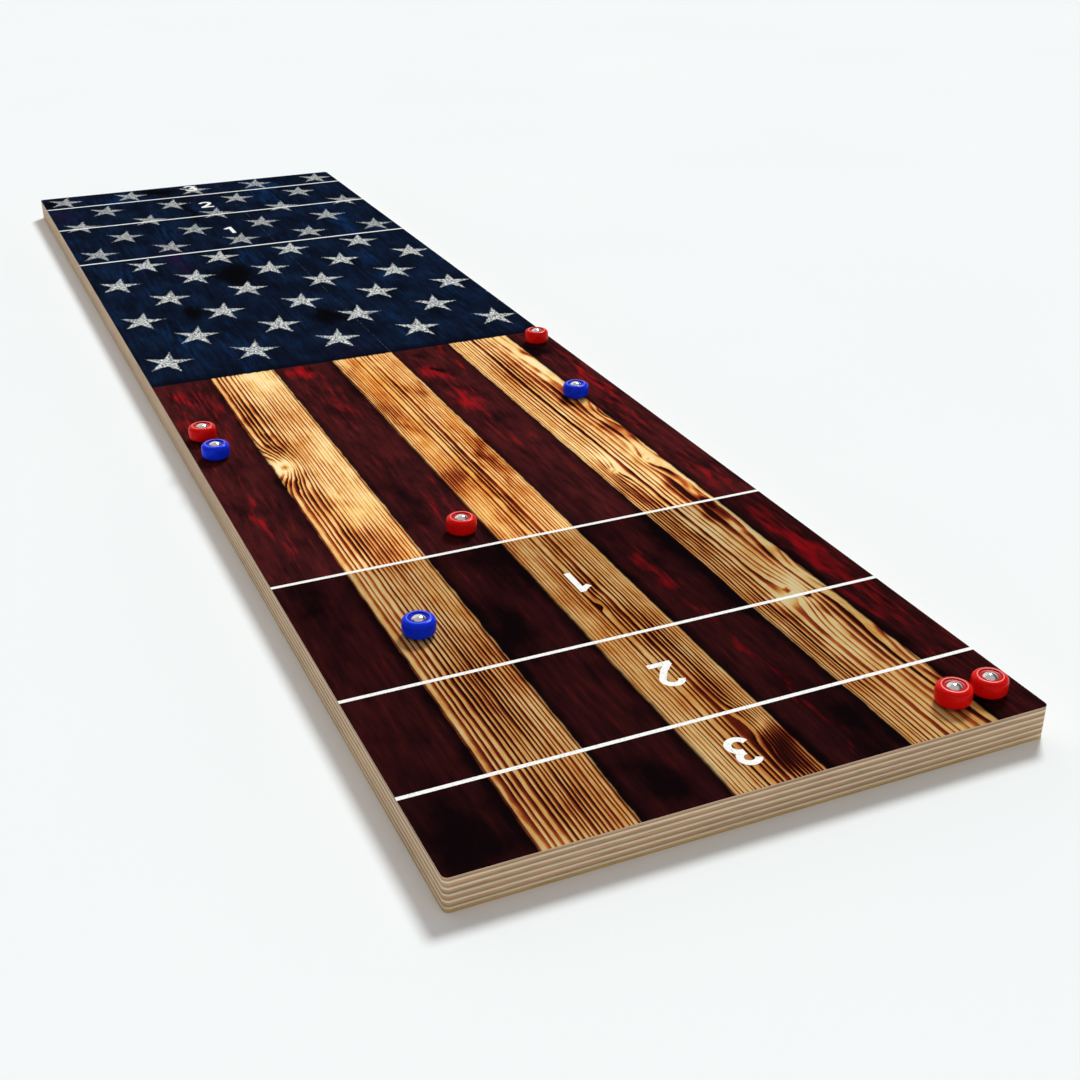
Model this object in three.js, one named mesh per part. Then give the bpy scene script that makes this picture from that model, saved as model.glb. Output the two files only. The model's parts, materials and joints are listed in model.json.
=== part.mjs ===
// Tabletop shuffleboard: a plywood slab with a printed playing face, and eight rolling pucks.
// Each puck is a moulded ring round a captive steel ball, which rolls on the face below it and
// shows in a dish above. A retaining ring pressed in from below keeps the ball in its socket.
//
// Millimetres. X runs across the board and Y along it, towards the end with the stars. Z is up,
// and the origin is the centre of the board's underside.

import * as THREE from 'three';

// The board
const boardWidth = 305;
const boardLength = 1168;
const boardCornerRadius = 3;
const plyCount = 11; // thick tan veneers, with a thin pale one between each two
const thickPly = 2.25;
const thinPly = 1.0625;
const outerPly = 1.84375; // both outer veneers are sanded a little thinner
const faceSheet = 0.25; // printed sheet, let into the top veneer's thickness

// A puck. Heights in its outline are measured from the ball's centre.
const puckRadius = 9;
const puckHalfHeight = 4.7;
const barrelBulge = 0.12; // how much narrower the side is at its shoulders than at its middle
const shoulderRadius = 2.6; // rounding between the side and the rim
const rimFlatInner = 5.8; // the rim's crest
const dishOuterRadius = 5.25;
const dishDepth = 0.58;
const dishSlope = 0.06; // the dish's floor rises this much towards the rim
const ballRadius = 5.556; // 7/16 inch ball
const ballClearance = 0.15; // between the ball and its socket
const lipRadius = 4.2; // opening that the ball shows through
const counterboreRadius = 6.65; // takes the retaining ring from below
const retainerFit = 0.1;
const socketSkirt = 0.35; // straight part of the socket, below the ball's centre
const ballLift = 0.03; // running gap between the ball and the playing face

// Fineness of the round parts
const puckSides = 20;
const ballSides = 16;
const arcSteps = 3;
const cornerSteps = 3;

// Each puck's place on the playing face
const puckPlaces = [
  { name: 'puck_red_1', colour: 'red', x: 138, y: -22 },
  { name: 'puck_red_2', colour: 'red', x: -140, y: -106 },
  { name: 'puck_red_3', colour: 'red', x: -34, y: -302 },
  { name: 'puck_red_4', colour: 'red', x: 112, y: -563.5 },
  { name: 'puck_red_5', colour: 'red', x: 133, y: -563.5 },
  { name: 'puck_blue_1', colour: 'blue', x: 117, y: -137 },
  { name: 'puck_blue_2', colour: 'blue', x: -139, y: -139 },
  { name: 'puck_blue_3', colour: 'blue', x: -96, y: -401 },
];

const finishes = {
  tanVeneer: { color: 0xb59a78, roughness: 0.7, metalness: 0 },
  paleVeneer: { color: 0xd6c7a9, roughness: 0.7, metalness: 0 },
  print: { color: 0x2a1420, roughness: 0.35, metalness: 0 },
  red: { color: 0xc41410, roughness: 0.3, metalness: 0 },
  blue: { color: 0x1028c0, roughness: 0.3, metalness: 0 },
  steel: { color: 0xc8cacc, roughness: 0.08, metalness: 1 },
};

function piece(name, geometry, finish) {
  const mesh = new THREE.Mesh(geometry, new THREE.MeshStandardMaterial(finishes[finish]));
  mesh.name = name;
  return mesh;
}

// ---- Board ----

function boardOutline() {
  const x = boardWidth / 2;
  const y = boardLength / 2;
  const r = boardCornerRadius;
  const outline = new THREE.Shape();
  outline.moveTo(-x + r, -y);
  outline.lineTo(x - r, -y);
  outline.absarc(x - r, -y + r, r, -Math.PI / 2, 0, false);
  outline.lineTo(x, y - r);
  outline.absarc(x - r, y - r, r, 0, Math.PI / 2, false);
  outline.lineTo(-x + r, y);
  outline.absarc(-x + r, y - r, r, Math.PI / 2, Math.PI, false);
  outline.lineTo(-x, -y + r);
  outline.absarc(-x + r, -y + r, r, Math.PI, 1.5 * Math.PI, false);
  return outline;
}

function layer(name, bottom, thickness, finish) {
  const settings = { depth: thickness, bevelEnabled: false, curveSegments: cornerSteps };
  const mesh = piece(name, new THREE.ExtrudeGeometry(boardOutline(), settings), finish);
  mesh.position.z = bottom;
  return mesh;
}

function plyThickness(index) {
  if (index === 0) return outerPly;
  if (index === plyCount - 1) return outerPly - faceSheet;
  return index % 2 === 0 ? thickPly : thinPly;
}

// The veneers lie face to face from the underside up, and the printed sheet closes the stack.
function buildBoard() {
  const board = new THREE.Group();
  let height = 0;
  for (let index = 0; index < plyCount; index += 1) {
    const number = String(index + 1).padStart(2, '0');
    const finish = index % 2 === 0 ? 'tanVeneer' : 'paleVeneer';
    board.add(layer(`ply_${number}`, height, plyThickness(index), finish));
    height += plyThickness(index);
  }
  board.add(layer('face_print', height, faceSheet, 'print'));
  board.userData.top = height + faceSheet;
  return board;
}

// ---- Puck ----

// Points on an arc in the outline's radius and height, from one angle to another.
function arc(centreRadius, centreHeight, radius, from, to) {
  const points = [];
  for (let step = 0; step <= arcSteps; step += 1) {
    const angle = from + ((to - from) * step) / arcSteps;
    const r = centreRadius + radius * Math.cos(angle);
    points.push([r, centreHeight + radius * Math.sin(angle)]);
  }
  return points;
}

// A turned solid about Z from a closed outline that never touches the axis.
function turned(outline) {
  const points = [...outline, outline[0]].map(([r, z]) => new THREE.Vector2(r, z));
  const geometry = new THREE.LatheGeometry(points, puckSides);
  geometry.rotateX(Math.PI / 2);
  return geometry;
}

const socketRadius = ballRadius + ballClearance;
const lipAngle = Math.acos(lipRadius / socketRadius);
const shoulderCentreRadius = puckRadius - barrelBulge - shoulderRadius;
const shoulderHeight = puckHalfHeight - shoulderRadius;

// Outlines run anticlockwise with the radius to the right and the height up: up the outside,
// inwards over the top, down the inside and outwards again.

// Rim and dish, as the shell has them above and the retaining ring below, from the rim inwards.
function dishOutline(side) {
  const floor = puckHalfHeight - dishDepth;
  return [
    [rimFlatInner, side * puckHalfHeight],
    [dishOuterRadius, side * (floor + dishSlope)],
    [lipRadius, side * floor],
  ];
}

// The moulded ring: rim, dish and upper half of the socket above, counterbore below.
function shellOutline() {
  const lowerEnd = Math.acos((counterboreRadius - shoulderCentreRadius) / shoulderRadius);
  return [
    [counterboreRadius, -socketSkirt],
    ...arc(shoulderCentreRadius, -shoulderHeight, shoulderRadius, -lowerEnd, 0),
    [puckRadius, 0],
    ...arc(shoulderCentreRadius, shoulderHeight, shoulderRadius, 0, Math.PI / 2),
    ...dishOutline(1),
    ...arc(0, 0, socketRadius, lipAngle, 0),
    [socketRadius, -socketSkirt],
  ];
}

// The ring that closes the counterbore: lower half of the socket above, dish and rim below.
function retainerOutline() {
  const outer = counterboreRadius - retainerFit;
  const top = -socketSkirt - retainerFit;
  const topAngle = Math.asin(-top / socketRadius);
  return [
    [outer, -puckHalfHeight],
    [outer, top],
    ...arc(0, 0, socketRadius, -topAngle, -lipAngle),
    ...dishOutline(-1).reverse(),
  ];
}

function ballGeometry() {
  const geometry = new THREE.SphereGeometry(ballRadius, ballSides, ballSides / 2);
  geometry.rotateZ(Math.PI / 2); // poles on X, the axis it rolls about
  return geometry;
}

function buildPuck(place) {
  const puck = new THREE.Group();
  puck.add(piece(`${place.name}_shell`, turned(shellOutline()), place.colour));
  puck.add(piece(`${place.name}_retainer`, turned(retainerOutline()), place.colour));
  puck.add(piece(`${place.name}_ball`, ballGeometry(), 'steel'));
  return puck;
}

// ---- Assembly ----

const shuffleboard = new THREE.Group();
const board = buildBoard();
shuffleboard.add(board);
for (const place of puckPlaces) {
  const puck = buildPuck(place);
  puck.position.set(place.x, place.y, board.userData.top + ballRadius + ballLift);
  shuffleboard.add(puck);
}

export default shuffleboard;
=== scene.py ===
import json
import math

import bpy
import numpy as np
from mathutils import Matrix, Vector

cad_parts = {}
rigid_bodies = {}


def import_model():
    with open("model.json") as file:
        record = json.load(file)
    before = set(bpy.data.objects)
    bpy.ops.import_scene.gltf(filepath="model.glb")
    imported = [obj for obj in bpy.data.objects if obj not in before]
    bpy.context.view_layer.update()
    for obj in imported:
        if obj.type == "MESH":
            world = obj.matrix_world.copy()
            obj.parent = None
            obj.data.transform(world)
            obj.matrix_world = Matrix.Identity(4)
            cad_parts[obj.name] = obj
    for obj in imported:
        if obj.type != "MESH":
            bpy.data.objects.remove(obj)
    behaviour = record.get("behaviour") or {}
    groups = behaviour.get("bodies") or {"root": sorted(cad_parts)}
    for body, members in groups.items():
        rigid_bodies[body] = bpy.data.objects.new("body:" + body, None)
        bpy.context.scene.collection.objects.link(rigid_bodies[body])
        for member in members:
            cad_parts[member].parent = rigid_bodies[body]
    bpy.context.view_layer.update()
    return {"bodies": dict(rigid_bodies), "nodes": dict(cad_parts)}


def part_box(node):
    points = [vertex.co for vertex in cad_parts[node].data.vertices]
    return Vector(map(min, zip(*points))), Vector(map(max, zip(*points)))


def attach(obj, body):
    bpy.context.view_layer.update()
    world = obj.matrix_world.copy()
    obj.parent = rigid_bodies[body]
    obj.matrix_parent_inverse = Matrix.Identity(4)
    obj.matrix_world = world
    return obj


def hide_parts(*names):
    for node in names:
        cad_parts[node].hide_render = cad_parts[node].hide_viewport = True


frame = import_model()
scene = bpy.context.scene
scene.view_settings.view_transform = "Standard"


def mm(value):
    return value / 1000.0


def paint(red, green, blue):
    # screen colour 0-255 to the linear value that a shader socket holds
    linear = []
    for channel in (red, green, blue):
        share = channel / 255.0
        linear.append(share / 12.92 if share <= 0.04045 else ((share + 0.055) / 1.055) ** 2.4)
    return (linear[0], linear[1], linear[2], 1.0)


def addPiece(name, mesh, material, body, replaced=()):
    # a visible piece, with the body it moves with, its material slot and the nodes it stands for
    piece = bpy.data.objects.new(name, mesh)
    scene.collection.objects.link(piece)
    mesh.materials.append(material)
    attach(piece, body)
    if replaced:
        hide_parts(*replaced)


def newMesh(name, points, faces):
    mesh = bpy.data.meshes.new(name)
    mesh.from_pydata(points, [], faces)
    return mesh


def storeValues(mesh, name, values, kind="FLOAT", field="value"):
    # one value or colour at each vertex, which a material reads by this name
    attribute = mesh.attributes.new(name, kind, "POINT")
    attribute.data.foreach_set(field, np.asarray(values, np.float32).ravel())


def newMaterial(name):
    # an empty material, with the nodes and links of its tree
    material = bpy.data.materials.new(name)
    material.use_nodes = True
    material.node_tree.nodes.clear()
    return material, material.node_tree.nodes, material.node_tree.links


def layOut(nodes, groups, abreast=1):
    # each group of nodes stands in a frame with its title, so many abreast, and the frames side by side
    for column, (title, members) in enumerate(groups.items()):
        holder = nodes.new("NodeFrame")
        holder.label = title
        for index, node in enumerate(members):
            node.parent = holder
            node.location = (280 * (column * abreast + index % abreast), -190 * (index // abreast))


def fillRamp(ramp, stops):
    # a ramp starts with two stops, and the others are added to it
    elements = ramp.color_ramp.elements
    for index, (position, colour) in enumerate(stops):
        element = elements[index] if index < 2 else elements.new(position)
        element.position = position
        element.color = colour


# ---- Camera ----

view = {
    "location": (-0.3079, -1.0258, 0.4080),
    "aim": (0.0034, -0.3296, 0.0180),
    "lens": 49.82,
}

camera = bpy.data.objects.new("camera", bpy.data.cameras.new("camera"))
scene.collection.objects.link(camera)
camera.location = view["location"]
camera.rotation_euler = (Vector(view["aim"]) - camera.location).to_track_quat("-Z", "Y").to_euler()
camera.data.lens = view["lens"]
camera.data.sensor_width = 36.0
camera.data.clip_start = 0.01
camera.data.clip_end = 60.0
scene.camera = camera
print("camera ready")

# ---- Board sizes, from the frame ----

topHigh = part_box("face_print")[1]
board = {
    "halfWidth": topHigh.x,
    "halfLength": topHigh.y,
    "top": topHigh.z,
    "cornerRadius": mm(3.0),
    "cornerSteps": 8,
    "arris": mm(0.07),
}


def roundedOutline(inset):
    # anticlockwise from the near left corner
    radius = board["cornerRadius"] - inset
    centreX = board["halfWidth"] - board["cornerRadius"]
    centreY = board["halfLength"] - board["cornerRadius"]
    points = []
    for quarter, (sideX, sideY) in enumerate([(-1, -1), (1, -1), (1, 1), (-1, 1)]):
        for step in range(board["cornerSteps"] + 1):
            angle = math.pi * (1.0 + 0.5 * quarter + 0.5 * step / board["cornerSteps"])
            x = sideX * centreX + radius * math.cos(angle)
            points.append((x, sideY * centreY + radius * math.sin(angle)))
    return points


# ---- Veneers ----

veneers = {
    "tan": {
        "underSide": paint(168, 142, 110),
        "upperSide": paint(210, 166, 128),
        "fleck": paint(146, 118, 88),
        "fibre": 1.0,
    },
    "pale": {
        "underSide": paint(236, 220, 194),
        "upperSide": paint(226, 208, 180),
        "fleck": paint(200, 182, 152),
        "fibre": 0.6,
    },
    "golden": {
        "underSide": paint(192, 158, 98),
        "upperSide": paint(204, 174, 124),
        "fleck": paint(150, 118, 70),
        "fibre": 1.0,
    },
}


def veneerMaterial(name, look):
    material, nodes, links = newMaterial(name)

    output = nodes.new("ShaderNodeOutputMaterial")
    output.label = "cut veneer edge"
    surface = nodes.new("ShaderNodeBsdfPrincipled")
    surface.label = "sanded sealed wood"
    place = nodes.new("ShaderNodeTexCoord")
    place.label = "place on the board"
    streakStretch = nodes.new("ShaderNodeVectorMath")
    streakStretch.label = "long along the edge"
    streak = nodes.new("ShaderNodeTexNoise")
    streak.label = "fibre streaks"
    patchStretch = nodes.new("ShaderNodeVectorMath")
    patchStretch.label = "wide patches"
    patch = nodes.new("ShaderNodeTexNoise")
    patch.label = "tone along the veneer"
    pore = nodes.new("ShaderNodeTexNoise")
    pore.label = "cut pores"
    height = nodes.new("ShaderNodeAttribute")
    height.label = "height in this veneer"
    heightWobble = nodes.new("ShaderNodeMath")
    heightWobble.label = "uneven along the fibre"
    sideShare = nodes.new("ShaderNodeMapRange")
    sideShare.label = "share of the upper side"
    sideTone = nodes.new("ShaderNodeMix")
    sideTone.label = "under side to upper side"
    fleckShare = nodes.new("ShaderNodeMapRange")
    fleckShare.label = "how much fleck"
    fleckTone = nodes.new("ShaderNodeMix")
    fleckTone.label = "dark flecks"
    patchTone = nodes.new("ShaderNodeHueSaturation")
    patchTone.label = "lighter and darker stretches"
    patchValue = nodes.new("ShaderNodeMapRange")
    patchValue.label = "brightness of a stretch"
    roughness = nodes.new("ShaderNodeMapRange")
    roughness.label = "dry and sealed spots"
    relief = nodes.new("ShaderNodeBump")
    relief.label = "saw-cut relief"

    groups = {
        "Where on the edge": [place, streakStretch, patchStretch, height],
        "Patterns": [streak, patch, pore, heightWobble],
        "Colour": [sideShare, sideTone, fleckShare, fleckTone, patchValue, patchTone],
        "Surface": [roughness, relief, surface, output],
    }
    layOut(nodes, groups)

    streakStretch.operation = "MULTIPLY"
    streakStretch.inputs[1].default_value = (90.0, 90.0, 1700.0)
    streak.inputs["Scale"].default_value = 1.0
    streak.inputs["Detail"].default_value = 3.0
    streak.inputs["Roughness"].default_value = 0.6
    patchStretch.operation = "MULTIPLY"
    patchStretch.inputs[1].default_value = (14.0, 14.0, 260.0)
    patch.inputs["Scale"].default_value = 1.0
    patch.inputs["Detail"].default_value = 2.0
    pore.inputs["Scale"].default_value = 1500.0
    pore.inputs["Detail"].default_value = 1.0
    height.attribute_name = "height"
    heightWobble.operation = "MULTIPLY_ADD"
    heightWobble.inputs[1].default_value = 0.5
    sideShare.interpolation_type = "SMOOTHSTEP"
    sideShare.inputs["From Min"].default_value = 0.45
    sideShare.inputs["From Max"].default_value = 1.15
    sideTone.data_type = "RGBA"
    sideTone.inputs[6].default_value = look["underSide"]
    sideTone.inputs[7].default_value = look["upperSide"]
    fleckShare.inputs["From Min"].default_value = 0.5
    fleckShare.inputs["From Max"].default_value = 0.72
    fleckShare.inputs["To Max"].default_value = 0.75 * look["fibre"]
    fleckTone.data_type = "RGBA"
    fleckTone.inputs[7].default_value = look["fleck"]
    patchValue.inputs["From Min"].default_value = 0.3
    patchValue.inputs["From Max"].default_value = 0.7
    patchValue.inputs["To Min"].default_value = 0.9
    patchValue.inputs["To Max"].default_value = 1.08
    roughness.inputs["To Min"].default_value = 0.5
    roughness.inputs["To Max"].default_value = 0.78
    relief.inputs["Strength"].default_value = 0.35
    relief.inputs["Distance"].default_value = mm(0.08)
    surface.inputs["Specular IOR Level"].default_value = 0.3

    links.new(place.outputs["Object"], streakStretch.inputs[0])
    links.new(streakStretch.outputs[0], streak.inputs["Vector"])
    links.new(place.outputs["Object"], patchStretch.inputs[0])
    links.new(patchStretch.outputs[0], patch.inputs["Vector"])
    links.new(place.outputs["Object"], pore.inputs["Vector"])
    links.new(patch.outputs[0], heightWobble.inputs[0])
    links.new(height.outputs["Fac"], heightWobble.inputs[2])
    links.new(heightWobble.outputs[0], sideShare.inputs["Value"])
    links.new(sideShare.outputs["Result"], sideTone.inputs[0])
    links.new(streak.outputs[0], fleckShare.inputs["Value"])
    links.new(fleckShare.outputs["Result"], fleckTone.inputs[0])
    links.new(sideTone.outputs[2], fleckTone.inputs[6])
    links.new(patch.outputs[0], patchValue.inputs["Value"])
    links.new(patchValue.outputs["Result"], patchTone.inputs["Value"])
    links.new(fleckTone.outputs[2], patchTone.inputs["Color"])
    links.new(patchTone.outputs[0], surface.inputs["Base Color"])
    links.new(pore.outputs[0], roughness.inputs["Value"])
    links.new(roughness.outputs["Result"], surface.inputs["Roughness"])
    links.new(streak.outputs[0], relief.inputs["Height"])
    links.new(relief.outputs[0], surface.inputs["Normal"])
    links.new(surface.outputs[0], output.inputs["Surface"])
    return material


def veneerMesh(name, low, high, recess):
    # closed slab with fine rounded arrises; "height" runs from 0 at its underside to 1 on top
    arris = board["arris"]
    rings = [
        (recess + arris, low, 0.0),
        (recess, low + arris, 0.0),
        (recess, high - arris, 1.0),
        (recess + arris, high, 1.0),
    ]
    points = []
    heights = []
    for inset, z, share in rings:
        outline = roundedOutline(inset)
        points += [(x, y, z) for x, y in outline]
        heights += [share] * len(outline)
    count = len(points) // len(rings)
    faces = [tuple(range(count - 1, -1, -1)), tuple(range(3 * count, 4 * count))]
    for ring in range(len(rings) - 1):
        for corner in range(count):
            after = (corner + 1) % count
            first = ring * count
            faces.append((first + corner, first + after, first + count + after, first + count + corner))
    mesh = newMesh(name, points, faces)
    storeValues(mesh, "height", heights)
    mesh.shade_smooth()
    mesh.set_sharp_from_angle(angle=math.radians(40))
    return mesh


tanVeneer = veneerMaterial("tanVeneer", veneers["tan"])
paleVeneer = veneerMaterial("paleVeneer", veneers["pale"])
goldenVeneer = veneerMaterial("goldenVeneer", veneers["golden"])
plyNames = sorted(node for node in frame["nodes"] if node.startswith("ply_"))
paleRecess = mm(0.03)
for number, node in enumerate(plyNames):
    low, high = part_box(node)
    isPale = number % 2 == 1
    mesh = veneerMesh(node + "_edge", low.z, high.z, paleRecess if isPale else 0.0)
    wood = paleVeneer if isPale else goldenVeneer if number == 0 else tanVeneer
    addPiece(node + "_veneer", mesh, wood, "board", [node])
print("veneers ready:", len(plyNames))

# ---- Artwork on the playing face: millimetres from the board's centre ----

art = {
    "goldPlanks": [(-109.8, -64.1), (-17.8, 28.0), (74.7, 122.0)],
    "plankSoftness": 0.25,
    "seamWidth": 1.0,
    "sootWidth": 8.0,
    "cantonEnd": 2.2,
    "cantonEndWander": 5.0,
    "cantonEndSoftness": 0.7,
    "cantonShade": (6.0, 16.0),
    "starRowPitch": 51.2,
    "firstStarRow": 561.2,
    "lastStarRow": 10,
    "starPitch": 66.1,
    "starColumn": 0.9,
    "starMargin": -146.0,
    "starAcross": 17.4,
    "starAlong": 22.2,
    "starSharpness": 3.5,
    "nearZone": -322.9,
    "farZone": 329.7,
    "goldStops": [
        (0.22, paint(255, 236, 184)),
        (0.34, paint(250, 218, 152)),
        (0.45, paint(234, 172, 90)),
        (0.58, paint(190, 92, 44)),
        (0.76, paint(130, 46, 28)),
        (1.0, paint(46, 17, 14)),
    ],
    "maroonStops": [
        (0.52, paint(30, 13, 16)),
        (0.68, paint(54, 20, 22)),
        (0.84, paint(76, 27, 28)),
        (1.0, paint(100, 30, 30)),
    ],
    "navyStops": [
        (0.50, paint(9, 12, 21)),
        (0.74, paint(14, 23, 41)),
        (1.0, paint(18, 36, 64)),
    ],
    "amber": (0.98, 0.77, 0.45, 1.0),
    "red": paint(170, 20, 28),
    "soot": paint(20, 10, 13),
    "plankSeam": paint(20, 8, 8),
    "blue": paint(16, 56, 106),
    "plum": paint(40, 20, 58),
    "cantonSeam": paint(4, 6, 12),
    "cantonSoot": paint(9, 9, 13),
    "cantonDark": paint(8, 10, 18),
    "dullStar": paint(128, 138, 146),
    "brightStar": paint(236, 238, 234),
    "scratch": paint(96, 104, 116),
    "sheetEdge": paint(214, 200, 184),
}

# Growth rings of each gold plank: how many lie left of a place across, how far they wander, how strong
# the late wood is and where it is stronger, as x, y, half width, half length and strength. Knots are
# x, y, half width, half length and how many rings they push aside.
grain = [
    {
        "count": [(-112, 0), (-91, 6.2), (-62, 19)],
        "wander": 0.35,
        "force": 0.4,
        "strong": [(-103, -100, 13, 190, 0.62), (-98, -290, 12, 60, 0.5), (-94, -470, 22, 130, 0.55)],
        "knots": [(-106, -170, 12, 27, 3.4)],
    },
    {
        "count": [(-20, 0), (-3, 8), (1, 9), (15, 13.6), (30, 21.5)],
        "wander": 0.45,
        "force": 0.3,
        "strong": [
            (5, -150, 7, 240, 0.85), (6, -420, 11, 120, 0.8), (4, -560, 24, 70, 0.6),
            (-15, -60, 3, 120, 0.5), (16, -470, 9, 60, 0.5),
        ],
        "knots": [(17, -541, 6, 22, 1.8), (2.5, -413, 2.2, 7, 0.8), (-20, -95, 6, 45, 1.6)],
    },
    {
        "count": [(72, 0), (86, 6.6), (108, 12.4), (124, 14.1)],
        "wander": 0.9,
        "force": 0.42,
        "strong": [
            (102, -90, 8, 90, 0.4), (96, -160, 11, 280, 0.5), (96, -330, 26, 60, 0.6),
            (108, -500, 14, 80, 0.5), (84, -470, 10, 130, 0.4),
        ],
        "knots": [
            (85.5, -261, 5, 15, -1), (112.7, -254, 5, 16, -1.1), (125, -172, 10, 26, -2.2),
            (125, -236, 8, 30, -1.7), (103, -443, 7, 26, 1.5), (126, -420, 11, 32, -2.3),
            (126, -522, 10, 36, -2.2), (122, 10, 14, 90, -1.6),
        ],
    },
]

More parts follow.
